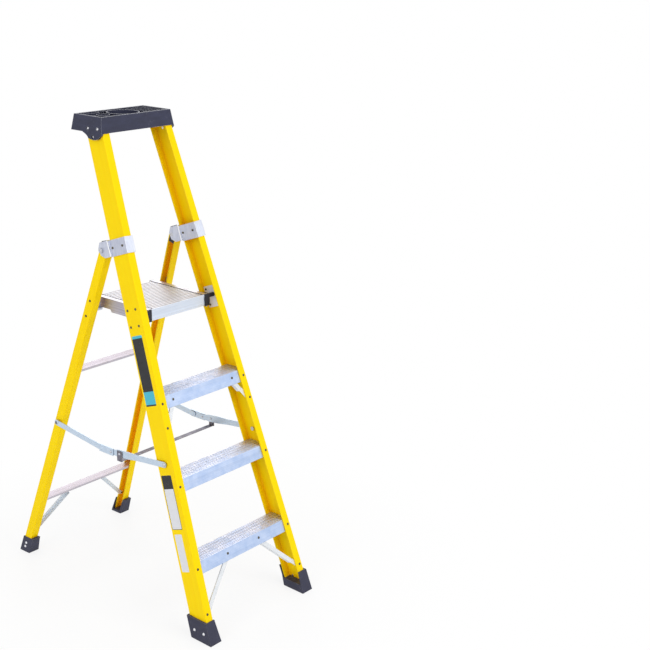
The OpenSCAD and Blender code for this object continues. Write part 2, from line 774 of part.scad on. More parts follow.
module rear_stile(side) color("gold")
    difference() {
        intersection() {
            rear_side(side) translate([0, 0, -60])
                linear_extrude(rear_top_along + 60) channel(rear_stile_depth, rear_stile_flange, stile_wall);
            level_slice(rear_sole + gap, far);
        }
        rear_side(side) {
            for (r = rear_shoe_rivets_at) translate([0, r[0], r[1]]) out_of_web() rivet_hole(12);
            for (bar = rear_bars) translate([rear_flange_rivet_in, rear_stile_depth, bar - bar_rivet_drop])
                out_of_rear() rivet_hole(8);
            translate([rear_flange_rivet_in, rear_stile_depth, rear_brace_foot]) out_of_rear() rivet_hole(8);
            for (r = rest_rivets) translate([0, rear_stile_depth / 2, rest_along + r]) out_of_web() rivet_hole(10);
        }
        on_rear() translate([0, stay_rear_d, stay_rear_along]) out_of_web() rivet_hole(far, stay_bolt_d);
        on_rear() sided(side) translate([0, rear_stile_depth / 2, rear_hinge_along]) out_of_web()
            rivet_hole(far, hinge_bolt_d + 2 * run_fit + 1);
    }

rear_bars = [239, 804.5];      // top of the rear bars, along the frame
rear_bar_sheet = 2.2;
bar_front_lip = 10;            // heights of a bar's two edges, which point down
bar_back_lip = 22;
bar_rivet_drop = 13;           // from a bar's top down to its rivets
rear_flange_rivet_in = 15;
rear_brace_foot = 77;
rear_brace_reach = 143.5;      // from a brace's foot in to its head
rear_foot_point = stile_point(rear_half, rear_flange_rivet_in, rear_brace_foot);
rear_head_point = [rear_foot_point[0] + rear_brace_reach, rear_bars[0] - bar_rivet_drop];
rear_brace_d = rear_stile_depth - stile_wall - gap - brace_sheet;   // front of a rear brace's foot

module rear_between_webs(clearance)
    on_rear() rotate([90, 0, 0]) translate([0, 0, -far / 2]) linear_extrude(far)
        polygon([
            [-rear_half + clearance, 0],
            [rear_half - clearance, 0],
            [rear_half - clearance - far * tan(splay), far],
            [-rear_half + clearance + far * tan(splay), far]
        ]);

// A channel that lies between the flanges with its web up and its edges down, deeper at the back
module rear_bar(index) color("silver") {
    front = stile_wall + gap;
    back = rear_stile_depth - stile_wall - gap;
    top = rear_bars[index];
    sheet = rear_bar_sheet;
    difference() {
        intersection() {
            on_rear() along_x(-rear_half, rear_half) polygon([
                [front, top], [back, top], [back, top - bar_back_lip], [back - sheet, top - bar_back_lip],
                [back - sheet, top - sheet], [front + sheet, top - sheet],
                [front + sheet, top - bar_front_lip], [front, top - bar_front_lip]
            ]);
            rear_between_webs((stile_wall + gap) / cos(splay));
        }
        for (side = [left, right]) {
            rear_side(side) translate([rear_flange_rivet_in, rear_stile_depth, top - bar_rivet_drop])
                out_of_rear() rivet_hole(9);
            if (index == 0) on_rear() sided(side)
                translate([rear_head_point[0], rear_stile_depth, rear_head_point[1]]) out_of_rear() rivet_hole(9);
        }
    }
}

module rear_brace(side) color("lightgray")
    on_rear() translate([0, rear_brace_d, 0]) mirror([0, 1, 0]) sided(side)
        knee_brace(rear_foot_point, rear_head_point, rear_stile_flange - rear_flange_rivet_in,
            rear_bar_sheet + gap);

module rear_plug(side) color("black")
    difference() {
        rear_side(side) {
            translate([stile_wall + gap, stile_wall + gap, rear_hinge_along - 28])
                cube([rear_stile_flange - stile_wall - gap, rear_stile_depth - 2 * stile_wall - 2 * gap, 54]);
            translate([0.5, 0.5, rear_top_along + gap]) cube([rear_stile_flange - 0.5, rear_stile_depth - 1, 2.2]);
        }
        on_rear() sided(side) translate([0, rear_stile_depth / 2, rear_hinge_along]) out_of_web()
            rivet_hole(far, hinge_bolt_d + 2 * run_fit);
    }

// rest pin under the platform's side rails
rest_pin_d = 15;
rest_z = platform_z - rail_height - rest_pin_d / 2 - gap;
rest_along = rear_along(rear_stile_depth / 2, rest_z);

module platform_rest(side) color("silver")
    difference() {
        union() {
            rear_side(side) translate([stile_wall + gap, stile_wall + gap + 1, rest_along + rest_rivets[1] - 10])
                cube([bracket_sheet, rear_stile_depth - 2 * stile_wall - 2 * gap - 2,
                    rest_rivets[0] - rest_rivets[1] + 20]);
            difference() {
                on_rear() sided(side) translate([0, rear_stile_depth / 2, rest_along]) out_of_web()
                    translate([0, 0, platform_half_width - 12])
                        cylinder(h = rear_web(rest_along) - platform_half_width + 12, d = rest_pin_d);
                rear_side(side) translate([-60 + stile_wall + gap + 1, -40, 0]) cube([60, 140, far]);
            }
        }
        rear_side(side) for (r = rest_rivets)
            translate([0, rear_stile_depth / 2, rest_along + r]) out_of_web() rivet_hole(12);
    }

module rear_frame_rivets() color("silver")
    for (side = [left, right]) {
        rear_side(side) {
            for (bar = rear_bars) translate([rear_flange_rivet_in, rear_stile_depth, bar - bar_rivet_drop])
                out_of_rear() rivet(stile_wall + gap + rear_bar_sheet);
            translate([rear_flange_rivet_in, rear_stile_depth, rear_brace_foot])
                out_of_rear() rivet(stile_wall + gap + brace_sheet);
            for (r = rest_rivets) translate([0, rear_stile_depth / 2, rest_along + r])
                out_of_web() rivet(stile_wall + gap + bracket_sheet);
        }
        on_rear() sided(side)
            translate([rear_head_point[0], rear_stile_depth - stile_wall - gap, rear_head_point[1]])
                out_of_rear() rivet(rear_bar_sheet + gap + brace_sheet);
    }

// ---------------------------------------------------------------- platform

stud_y = front_y(platform_stud_d, platform_stud_along);
platform_front_y = stud_y - 13;
platform_back_y = platform_front_y + platform_depth;
fascia_sheet = 2.5;
rail_sheet = 3;
deck_sheet = 3;
deck_slot = 2;                 // open line between the deck and the rails' top edges
deck_half = platform_half_width - rail_top_width - deck_slot;
frame_half = platform_half_width - rail_sheet - gap;   // of the walls under the deck
deck_front_y = platform_front_y + fascia_sheet + gap;
deck_wall_height = rail_height - 3;
corner_width = 22.3;           // of a front corner piece, seen from the front
corner_height = 41;
corner_depth = 27;
corner_front = 3;              // how far it stands in front of the fascia
fascia_half = platform_half_width + corner_out + gap - corner_width;
rail_step_y = platform_front_y + 187;   // where the side rails grow deeper

// Ribbed deck on four cross walls, which run on under the rails' top edges
module platform_deck() color("silver") {
    run = platform_back_y - fascia_sheet - deck_front_y;
    ridges = floor((run - 6) / deck_ridge_pitch);
    start = (run - ridges * deck_ridge_pitch - ridge_width) / 2;
    wall = 2.5;
    wall_y = [0, run * 0.34, run * 0.67, run - wall];
    translate([0, deck_front_y, platform_z]) {
        along_x(-deck_half, deck_half) translate([0, -ridge_height]) polygon(concat(
            [[0, -deck_sheet], [0, 0]],
            ridge_line(start, ridges, deck_ridge_pitch),
            [[run, 0], [run, -deck_sheet]]
        ));
        along_x(-frame_half, frame_half) {
            for (y = wall_y) translate([y, -deck_wall_height])
                square([wall, deck_wall_height - ridge_height - deck_sheet + 0.5]);
            for (i = [0:2]) translate([wall_y[i], -deck_wall_height]) square([12, wall]);
        }
    }
}

module platform_fascia() color("gainsboro")
    translate([0, platform_front_y, platform_z]) along_x(-fascia_half, fascia_half) {
        translate([0, -fascia_height]) square([fascia_sheet, fascia_height - 0.8]);
        translate([0, -fascia_height]) square([10, 2.2]);
        for (drop = [6, fascia_height - 6]) translate([-0.8, -drop - 1]) square([2, 2]);
    }

// Side rail: an angle with its top edge level with the deck, deeper at the front where the stud carries it
module platform_rail(side) color("gray")
    sided(side) difference() {
        union() {
            along_x(-platform_half_width, -platform_half_width + rail_sheet) translate([0, platform_z]) polygon([
                [platform_front_y, 0],
                [platform_back_y, 0],
                [platform_back_y, -rail_height],
                [rail_step_y, -rail_height],
                [rail_step_y - 6, -rail_height - rail_front_extra],
                [platform_front_y, -rail_height - rail_front_extra]
            ]);
            translate([-platform_half_width, deck_front_y, platform_z - rail_sheet])
                cube([rail_top_width, platform_back_y - deck_front_y, rail_sheet]);
        }
        translate([0, stud_y, platform_stud_z]) out_of_web() rivet_hole(far, stud_d + 2 * run_fit);
    }

module platform_corner(side) color("black")
    sided(side) difference() {
        union() {
            translate([-platform_half_width - corner_out - gap, platform_front_y - corner_front,
                platform_z - 0.5 - corner_height])
                cube([corner_out, corner_depth, corner_height]);
            translate([-platform_half_width - corner_out - gap, platform_front_y - corner_front,
                platform_z - 0.5 - corner_height])
                cube([corner_width - gap, corner_front - gap, corner_height]);
        }
        translate([0, stud_y, platform_stud_z]) out_of_web() rivet_hole(far, stud_d + 2 * run_fit);
    }

module platform_rear_cap(side) color("black")
    sided(side) union() {
        translate([-platform_half_width, platform_back_y + gap, platform_z - rail_height])
            cube([22, 3, rail_height - 0.4]);
        translate([-platform_half_width + rail_sheet + gap + 1, platform_back_y - 1.5, platform_z - rail_height + 5])
            cube([12, 3, 8]);
    }

// ---------------------------------------------------------------- spreader

stay_room = 3;                 // between the wider frame and the arms
// inner face of the arms, measured from the ladder's middle
stay_plane = max(front_web(stay_front_along), rear_web(stay_rear_along)) + stay_room;
stay_bolt_d = 8;
link_sheet = 1.6;
link_width = 24;
link_lip = 4;
stay_front_y = front_y(stay_front_d, stay_front_along);
stay_front_z = front_z(stay_front_d, stay_front_along);
stay_rear_y = rear_y(stay_rear_d, stay_rear_along);
stay_rear_z = rear_z(stay_rear_d, stay_rear_along);
link_back = 9;                 // how far the links lie behind the middle between the bolts
link_sag = 28;                 // and how far below the front bolt
link_middle_y = (stay_front_y + stay_rear_y) / 2 + link_back;
link_z = stay_front_z - link_sag;
link_front_y = link_middle_y - link_pitch / 2;
link_rear_y = link_middle_y + link_pitch / 2;

// an arm in Y and Z from one bolt to another, rounded at both ends
module arm_outline(y1, z1, y2, z2, width1, width2) {
    run = sqrt((y2 - y1) * (y2 - y1) + (z2 - z1) * (z2 - z1));
    translate([y1, z1]) rotate(atan2(z2 - z1, y2 - y1)) {
        circle(d = width1);
        translate([run, 0]) circle(d = width1);
        polygon([
            [0, -width1 / 2], [run * 0.5, -width1 / 2], [run * 0.68, -width2 / 2], [run * 0.86, -width2 / 2],
            [run * 0.93, -width1 / 2], [run, -width1 / 2], [run, width1 / 2], [run * 0.93, width1 / 2],
            [run * 0.86, width2 / 2], [run * 0.68, width2 / 2], [run * 0.5, width1 / 2], [0, width1 / 2]
        ]);
    }
}

module stay_hole(y, z, d) translate([0, y, z]) out_of_web() rivet_hole(far, d);

module stay_front_arm(side) color("lightsteelblue")
    sided(side) difference() {
        along_x(-stay_plane - stay_sheet, -stay_plane)
            arm_outline(stay_front_y, stay_front_z, link_front_y, link_z, stay_width, stay_width * 1.3);
        stay_hole(stay_front_y, stay_front_z, stay_bolt_d + 2 * run_fit);
        stay_hole(link_front_y, link_z, rivet_d);
        stay_hole(tie_y, tie_rivet_z, tie_rivet_d);
    }

module stay_rear_arm(side) color("lightsteelblue")
    sided(side) difference() {
        union() {
            along_x(-stay_plane - stay_sheet, -stay_plane)
                arm_outline(link_rear_y, link_z, stay_rear_y, stay_rear_z, stay_width, stay_width);
            translate([-stay_plane - stay_sheet, stay_rear_y, stay_rear_z]) out_of_web()
                cylinder(h = 3, d1 = stay_bolt_d + 6, d2 = stay_bolt_d + 2);
        }
        stay_hole(link_rear_y, link_z, rivet_d);
    }

tie_rivet_d = 5;
tie_sheet = 2.2;
tie_setback = 44;              // from the link's front rivet forward to the tie bar
tie_rivet_drop = 23;           // from the front bolt's height down to the tie bar's rivets
tie_drop = 50;                 // and down to its underside
tie_tab_height = 36;
tie_y = link_front_y - tie_setback;
tie_rivet_z = stay_front_z - tie_rivet_drop;
tie_low = stay_front_z - tie_drop;

// Tie bar: a strip below both front arms, its ends turned up outside them
module stay_tie_bar() color("slategray") {
    reach = stay_plane + stay_sheet + gap;
    difference() {
        union() {
            translate([-reach - tie_sheet, tie_y - tie_width / 2, tie_low])
                cube([2 * (reach + tie_sheet), tie_width, tie_sheet]);
            for (side = [left, right]) sided(side)
                translate([-reach - tie_sheet, tie_y - tie_width / 2 - 3, tie_low])
                    cube([tie_sheet, tie_width + 6, tie_tab_height]);
        }
        stay_hole(tie_y, tie_rivet_z, tie_rivet_d);
    }
}

// the fixed rivet of each tab, and the rivet on which each link turns
module stay_link_rivets() color("silver")
    for (side = [left, right]) sided(side) {
        translate([-stay_plane - stay_sheet - gap - tie_sheet, tie_y, tie_rivet_z])
            out_of_web() rivet(stay_sheet + gap + tie_sheet, rivet_head_d, tie_rivet_d);
        translate([-stay_plane - stay_sheet - 2 * gap - link_sheet, link_front_y, link_z])
            out_of_web() rivet(stay_sheet + 2 * gap + link_sheet, rivet_head_d, rivet_d);
    }

module stay_link(side) color("lightsteelblue")
    sided(side) difference() {
        union() {
            along_x(-stay_plane - stay_sheet - gap - link_sheet, -stay_plane - stay_sheet - gap)
                translate([link_front_y - 12, link_z - link_width / 2]) square([link_pitch + 24, link_width]);
            translate([-stay_plane - stay_sheet - gap - link_sheet, link_front_y - 12, link_z + link_width / 2 - 0.1])
                cube([link_lip, link_pitch + 24, link_sheet]);
            // its own rivet, on which the rear arm turns
            translate([-stay_plane - stay_sheet - gap - link_sheet, link_rear_y, link_z]) out_of_web() {
                cylinder(h = rivet_head_h, d1 = 10, d2 = 6);
                translate([0, 0, -link_sheet - gap - stay_sheet])
                    cylinder(h = link_sheet + gap + stay_sheet, d = rivet_d - 2 * run_fit);
            }
        }
        stay_hole(link_front_y, link_z, rivet_d);
    }

module stay_front_bolts() color("dimgray")
    for (side = [left, right]) on_front() sided(side)
        translate([0, stay_front_d, stay_front_along]) out_of_web() {
            translate([0, 0, stay_plane + stay_sheet + gap]) cylinder(h = 3.4, d1 = 14, d2 = 10);
            translate([0, 0, front_web(stay_front_along) - stile_wall - 3])
                cylinder(h = stay_plane + stay_sheet + gap + 1 - front_web(stay_front_along) + stile_wall + 3,
                    d = stay_bolt_d - 2 * run_fit);
            translate([0, 0, front_web(stay_front_along) - stile_wall - 5]) cylinder(h = 3.6, d = 14);
            translate([0, 0, front_web(stay_front_along) + 1])
                cylinder(h = stay_plane - gap - front_web(stay_front_along) - 1, d = 14);
        }

module stay_rear_bosses() color("dimgray")
    for (side = [left, right]) on_rear() sided(side)
        translate([0, stay_rear_d, stay_rear_along]) out_of_web() {
            translate([0, 0, rear_web(stay_rear_along) - stile_wall - 3])
                cylinder(h = stay_plane - gap - rear_web(stay_rear_along) + stile_wall + 3, d = stay_bolt_d - 2 * run_fit);
            translate([0, 0, rear_web(stay_rear_along) - stile_wall - 5]) cylinder(h = 3.6, d = 14);
            translate([0, 0, rear_web(stay_rear_along) + 1])
                cylinder(h = stay_plane - gap - rear_web(stay_rear_along) - 1, d = 14);
        }

// ---------------------------------------------------------------- pieces

front_stile(left);  // front_stile_left
front_stile(right);  // front_stile_right
tread(0);  // tread_lower
tread(1);  // tread_middle
tread(2);  // tread_upper
tread_cleats();
front_brace(left, 0);  // knee_brace_lower_left
front_brace(right, 0);  // knee_brace_lower_right
front_brace(left, 1);  // knee_brace_upper_left
front_brace(right, 1);  // knee_brace_upper_right
top_tray();
hinge_bracket(left);  // hinge_bracket_left
hinge_bracket(right);  // hinge_bracket_right
hinge_bolt(left);  // hinge_bolt_left
hinge_bolt(right);  // hinge_bolt_right
platform_bracket(left);  // platform_bracket_left
platform_bracket(right);  // platform_bracket_right
platform_stud(left);  // platform_stud_left
platform_stud(right);  // platform_stud_right
front_shoe(left);  // front_shoe_left
front_shoe(right);  // front_shoe_right
tread_rivets();
knee_brace_rivets();
top_tray_rivets();
hinge_bracket_rivets();
platform_bracket_rivets();
front_shoe_rivets();
stay_front_bolts();
rear_stile(left);  // rear_stile_left
rear_stile(right);  // rear_stile_right
rear_bar(1);  // rear_bar_upper
rear_bar(0);  // rear_bar_lower
rear_brace(left);  // rear_brace_left
rear_brace(right);  // rear_brace_right
rear_plug(left);  // rear_plug_left
rear_plug(right);  // rear_plug_right
platform_rest(left);  // platform_rest_left
platform_rest(right);  // platform_rest_right
rear_shoe(left);  // rear_shoe_left
rear_shoe(right);  // rear_shoe_right
rear_frame_rivets();
rear_shoe_rivets();
stay_rear_bosses();
platform_deck();
platform_fascia();
platform_rail(left);  // platform_rail_left
platform_rail(right);  // platform_rail_right
platform_corner(left);  // platform_corner_left
platform_corner(right);  // platform_corner_right
platform_rear_cap(left);  // platform_rear_cap_left
platform_rear_cap(right);  // platform_rear_cap_right
stay_front_arm(left);  // stay_front_arm_left
stay_front_arm(right);  // stay_front_arm_right
stay_tie_bar();
stay_link_rivets();
stay_link(left);  // stay_link_left
stay_link(right);  // stay_link_right
stay_rear_arm(left);  // stay_rear_arm_left
stay_rear_arm(right);  // stay_rear_arm_right
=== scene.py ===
# %% [markdown]
# # A platform step ladder, dressed for a studio picture
# The ladder's solids come ready made from the CAD model: stiles, treads, platform, tray, spreader and feet.
# They stay where they are. This notebook gives each of them a believable finish, adds the thin stickers that
# the CAD model leaves out, and sets up light, floor and camera.
# Everything is in metres. Left is -X, the climber stands at -Y, and Z is up.

# %% Load the frame
import json
import math

import bmesh
import bpy
from mathutils import Matrix, Vector


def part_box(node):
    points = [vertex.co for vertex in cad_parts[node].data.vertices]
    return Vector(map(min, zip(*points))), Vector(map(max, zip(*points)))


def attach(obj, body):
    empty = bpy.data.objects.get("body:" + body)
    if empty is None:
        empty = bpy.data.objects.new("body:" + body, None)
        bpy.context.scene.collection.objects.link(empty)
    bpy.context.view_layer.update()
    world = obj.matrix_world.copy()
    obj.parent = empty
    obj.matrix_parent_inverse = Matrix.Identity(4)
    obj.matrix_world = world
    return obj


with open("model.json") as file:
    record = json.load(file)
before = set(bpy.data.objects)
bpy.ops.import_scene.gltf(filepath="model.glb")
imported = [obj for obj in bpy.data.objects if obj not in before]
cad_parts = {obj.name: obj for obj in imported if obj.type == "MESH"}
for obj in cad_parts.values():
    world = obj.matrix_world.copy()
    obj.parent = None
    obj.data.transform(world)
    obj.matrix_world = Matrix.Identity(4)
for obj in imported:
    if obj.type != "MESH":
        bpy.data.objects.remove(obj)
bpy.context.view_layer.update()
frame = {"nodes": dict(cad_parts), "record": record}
nodes = frame["nodes"]

# %% [markdown]
# ## The camera
# A lens of about 69 mm on a 36 mm sensor stands a little over 4 m from the middle of the ladder, about half a
# metre above its top and to its front left. Aiming it with a target point keeps the numbers readable: the
# place and the aim are points in the room, and the small roll turns the picture about the line of sight.

# %% Place the camera
CAMERA_PLACE = Vector((-2.7398, -3.0038, 2.1978))
CAMERA_AIM = Vector((0.0007, -0.7467, 1.0858))
CAMERA_ROLL = math.radians(1.047)
CAMERA_LENS = 68.68

camera = bpy.data.objects.new("camera", bpy.data.cameras.new("camera"))
bpy.context.scene.collection.objects.link(camera)
camera.data.lens = CAMERA_LENS
camera.data.sensor_width = 36.0
camera.data.clip_end = 400.0
sight = CAMERA_AIM - CAMERA_PLACE
camera.rotation_mode = "QUATERNION"
rolled = Matrix.Rotation(CAMERA_ROLL, 3, "Z").to_quaternion()
camera.rotation_quaternion = sight.to_track_quat("-Z", "Y") @ rolled
camera.location = CAMERA_PLACE
bpy.context.scene.camera = camera
print("camera is", round(sight.length, 3), "m from the point that it looks at")

# %% [markdown]
# ## Small helpers for node trees
# A material is a little machine of nodes: textures give numbers, maths bends them, and the shader at the end
# turns them into a surface. Wiring each node by hand hides the idea, so a few helpers add one node each and
# hand back its output. Every value may be a plain number or the output of another node.

# %% Node helpers
def new_material(name):
    """A material with an empty node tree, and that tree."""
    material = bpy.data.materials.new(name)
    material.use_nodes = True
    material.node_tree.nodes.clear()
    return material, material.node_tree


def add(tree, kind, **settings):
    """A node of that kind with its settings made."""
    node = tree.nodes.new(kind)
    for key, value in settings.items():
        setattr(node, key, value)
    return node


def value_into(tree, socket, value):
    """Sets a socket to a plain value, or links another node's output to it."""
    if isinstance(value, bpy.types.NodeSocket):
        tree.links.new(value, socket)
    else:
        socket.default_value = value


def maths(tree, operation, *values):
    """One Math node, fed with numbers or outputs."""
    node = add(tree, "ShaderNodeMath", operation=operation)
    for socket, value in zip(node.inputs, values):
        value_into(tree, socket, value)
    return node.outputs[0]


def spread(tree, value, low, high, to_low=0.0, to_high=1.0):
    """Stretches the range from low to high over the range from to_low to to_high, and stops at its ends."""
    node = add(tree, "ShaderNodeMapRange", clamp=True)
    for socket, given in zip(node.inputs, (value, low, high, to_low, to_high)):
        value_into(tree, socket, given)
    return node.outputs[0]


def blend_colours(tree, share, first, second):
    """The first colour, mixed towards the second by the share."""
    node = add(tree, "ShaderNodeMix", data_type="RGBA")
    value_into(tree, node.inputs[0], share)
    value_into(tree, node.inputs[6], first if isinstance(first, bpy.types.NodeSocket) else (*first, 1.0))
    value_into(tree, node.inputs[7], second if isinstance(second, bpy.types.NodeSocket) else (*second, 1.0))
    return node.outputs[2]


def stretched(tree, vector, factors):
    """A position multiplied along each axis, which draws a texture out into lines or squeezes it."""
    node = add(tree, "ShaderNodeVectorMath", operation="MULTIPLY")
    value_into(tree, node.inputs[0], vector)
    value_into(tree, node.inputs[1], factors)
    return node.outputs[0]


def noise(tree, vector, scale, detail=2.0, roughness=0.5):
    """Cloudy noise between 0 and 1, around a half."""
    node = add(tree, "ShaderNodeTexNoise", noise_dimensions="3D")
    value_into(tree, node.inputs["Vector"], vector)
    value_into(tree, node.inputs["Scale"], scale)
    node.inputs["Detail"].default_value = detail
    node.inputs["Roughness"].default_value = roughness
    return node.outputs["Fac"]


def on_the_piece(tree):
    """Positions that travel with the piece, so that its pattern stays put when the ladder folds."""
    return add(tree, "ShaderNodeTexCoord").outputs["Object"]


def coordinates(tree, vector):
    """The X, Y and Z outputs of a position or direction."""
    node = add(tree, "ShaderNodeSeparateXYZ")
    value_into(tree, node.inputs[0], vector)
    return node.outputs


def facing(tree):
    """The X, Y and Z outputs of the way a surface faces, measured on the piece at rest."""
    return coordinates(tree, add(tree, "ShaderNodeTexCoord").outputs["Normal"])


def bumped(tree, height, strength, distance, normal=None):
    """The normal of a fine relief, laid over another normal where one is given."""
    relief = add(tree, "ShaderNodeBump")
    relief.inputs["Strength"].default_value = strength
    relief.inputs["Distance"].default_value = distance
    value_into(tree, relief.inputs["Height"], height)
    if normal is not None:
        value_into(tree, relief.inputs["Normal"], normal)
    return relief.outputs[0]


def show(tree, shader, output="ShaderNodeOutputMaterial"):
    """Wires a shader to the output of its tree."""
    value_into(tree, add(tree, output).inputs["Surface"], shader.outputs[0])


print("helpers for node trees are ready")

# %% [markdown]
# ## Effects that several finishes share
# Worn edges, dust, scratches and drawn lines turn up on many finishes. Each one is built once as a node
# group, with named sockets like the knobs of a tool, and placed wherever it is needed with its own values.
# A group only ever puts out masks, heights and normals. The shader itself stays in the material.

# %% Group helpers
def new_group(name, inputs, outputs):
    """A node group with named sockets: inputs are (name, kind, start value), outputs are (name, kind)."""
    group = bpy.data.node_groups.new(name, "ShaderNodeTree")
    for label, kind, start in inputs:
        socket = group.interface.new_socket(name=label, in_out="INPUT", socket_type=f"NodeSocket{kind}")
        socket.default_value = start
    for label, kind in outputs:
        group.interface.new_socket(name=label, in_out="OUTPUT", socket_type=f"NodeSocket{kind}")
    knobs = group.nodes.new("NodeGroupInput").outputs
    results = group.nodes.new("NodeGroupOutput").inputs
    return group, knobs, results


def place_group(tree, group, **knobs):
    """Places a group in a material. A knob named edge_radius sets the socket called Edge radius."""
    node = add(tree, "ShaderNodeGroup", node_tree=group)
    for label, value in knobs.items():
        value_into(tree, node.inputs[label.replace("_", " ").capitalize()], value)
    return node.outputs


print("helpers for node groups are ready")

# %% [markdown]
# ### Worn and softened edges
# Handling rubs an edge first. A Bevel node knows the normal that a rounded edge would have, and where that
# differs from the true normal there is an edge. Noise breaks the mask up, because no edge wears evenly.
# The rounded normal goes out as well, so that moulded edges catch a thin line of light. Besides wear, some
# finishes paint a highlight or an edge shade through this mask.

# %% Edge wear group
edge_marking, knobs, results = new_group(
    "edge_marking",
    [("Edge radius", "Float", 0.001), ("Patch scale", "Float", 60.0), ("Evenness", "Float", 0.3)],
    [("Mask", "Float"), ("Normal", "Vector")])
rounded = add(edge_marking, "ShaderNodeBevel", samples=6)
value_into(edge_marking, rounded.inputs["Radius"], knobs["Edge radius"])
true_normal = add(edge_marking, "ShaderNodeNewGeometry").outputs["Normal"]
likeness = add(edge_marking, "ShaderNodeVectorMath", operation="DOT_PRODUCT")
value_into(edge_marking, likeness.inputs[0], rounded.outputs[0])
value_into(edge_marking, likeness.inputs[1], true_normal)
edge = spread(edge_marking, likeness.outputs["Value"], 0.995, 0.86)
blotches = noise(edge_marking, on_the_piece(edge_marking), knobs["Patch scale"], 4.0, 0.6)
patches = spread(edge_marking, blotches, 0.35, 0.62)
kept = maths(edge_marking, "MAXIMUM", patches, knobs["Evenness"])
value_into(edge_marking, results["Mask"], maths(edge_marking, "MULTIPLY", edge, kept))
value_into(edge_marking, results["Normal"], rounded.outputs[0])
print("group", edge_marking.name)

# %% [markdown]
# ### Corners that hold shade
# Light that reaches the bottom of a channel has bounced off its walls, so the colour there is deeper.
# Ambient Occlusion measures how closed in a point is, and its mask lets a finish paint that shade into its
# colour.

# %% Cavity group
cavity, knobs, results = new_group("cavity", [("Reach", "Float", 0.04)], [("Mask", "Float")])
closed_in = add(cavity, "ShaderNodeAmbientOcclusion", samples=8)
value_into(cavity, closed_in.inputs["Distance"], knobs["Reach"])
value_into(cavity, results["Mask"], maths(cavity, "SUBTRACT", 1.0, closed_in.outputs["AO"]))
print("group", cavity.name)

# %% [markdown]
# ### Scuffs and fine scratches
# A scratch is long and thin. Noise that is stretched hard along one direction and cut off high gives a few
# short hair lines. Two directions together look like use, where one alone would look like a machined pattern.

# %% Scuffs group
scuffs, knobs, results = new_group(
    "scuffs", [("Scale", "Float", 9.0), ("Amount", "Float", 0.3)], [("Mask", "Float")])
marks = []
for turn, stretch in ((0.5, (14.0, 170.0, 30.0)), (-0.9, (130.0, 18.0, 40.0))):
    turned = add(scuffs, "ShaderNodeVectorRotate", rotation_type="EULER_XYZ")
    value_into(scuffs, turned.inputs["Vector"], on_the_piece(scuffs))
    turned.inputs["Rotation"].default_value = (turn, 0.4 * turn, 1.3 * turn)
    hair = noise(scuffs, stretched(scuffs, turned.outputs[0], stretch), knobs["Scale"], 1.0)
    marks.append(spread(scuffs, hair, 0.71, 0.75))
together = maths(scuffs, "MAXIMUM", marks[0], marks[1])
where = spread(scuffs, noise(scuffs, on_the_piece(scuffs), 11.0, 2.0), 0.45, 0.6)
shown = maths(scuffs, "MULTIPLY", maths(scuffs, "MULTIPLY", together, where), knobs["Amount"])
value_into(scuffs, results["Mask"], shown)
print("group", scuffs.name)

# %% [markdown]
# ### Settled dust
# Dust lies on what faces up and gathers in cloudy patches. The mask is the upward part of the normal times
# a broad noise with a fine one inside it.

# %% Dust group
dust, knobs, results = new_group("dust", [("Amount", "Float", 0.3)], [("Mask", "Float")])
upward = spread(dust, facing(dust)["Z"], 0.35, 0.95)
clouds = spread(dust, noise(dust, on_the_piece(dust), 26.0, 6.0, 0.7), 0.42, 0.66)
specks = spread(dust, noise(dust, on_the_piece(dust), 900.0, 2.0), 0.5, 0.7, 0.4, 1.0)
lying = maths(dust, "MULTIPLY", maths(dust, "MULTIPLY", upward, clouds), specks)
value_into(dust, results["Mask"], maths(dust, "MULTIPLY", lying, knobs["Amount"]))
print("group", dust.name)

# %% [markdown]
# ## Glass-fibre stiles
# The stiles are pultruded: glass threads in yellow resin are pulled through a hot die. The result is a smooth
# channel with very fine lines along its length and a colour that shifts slightly from thread to thread.
# The lines must follow the leaning stile, so the group first turns the position until the stile stands
# upright, then stretches noise along it.

# %% Fibre streaks group
SPLAY = math.radians(3.2)

fibre_streaks, knobs, results = new_group(
    "fibre_streaks",
    [("Lean", "Float", 0.0), ("Fineness", "Float", 1.0)],
    [("Streak", "Float"), ("Cloud", "Float"), ("Height", "Float")])
upright = add(fibre_streaks, "ShaderNodeVectorRotate", rotation_type="X_AXIS")
value_into(fibre_streaks, upright.inputs["Vector"], on_the_piece(fibre_streaks))
value_into(fibre_streaks, upright.inputs["Angle"], knobs["Lean"])
parts = coordinates(fibre_streaks, upright.outputs[0])
outward = maths(fibre_streaks, "ABSOLUTE", parts["X"])
across = maths(fibre_streaks, "MULTIPLY_ADD", parts["Z"], math.tan(SPLAY), outward)
along_stile = add(fibre_streaks, "ShaderNodeCombineXYZ")
for axis, value in (("X", across), ("Y", parts["Y"]), ("Z", parts["Z"])):
    value_into(fibre_streaks, along_stile.inputs[axis], value)
threads = stretched(fibre_streaks, along_stile.outputs[0], (420.0, 420.0, 5.0))
ribbons = stretched(fibre_streaks, along_stile.outputs[0], (120.0, 120.0, 1.6))
thread = noise(fibre_streaks, threads, knobs["Fineness"], 3.0, 0.6)
ribbon = noise(fibre_streaks, ribbons, knobs["Fineness"], 3.0, 0.55)
streak = maths(fibre_streaks, "ADD", maths(fibre_streaks, "MULTIPLY", thread, 0.45),
               maths(fibre_streaks, "MULTIPLY", ribbon, 0.55))
value_into(fibre_streaks, results["Streak"], spread(fibre_streaks, streak, 0.36, 0.64))
cloud = noise(fibre_streaks, on_the_piece(fibre_streaks), 7.0, 4.0, 0.6)
value_into(fibre_streaks, results["Cloud"], spread(fibre_streaks, cloud, 0.35, 0.65))
value_into(fibre_streaks, results["Height"], thread)
print("group", fibre_streaks.name)
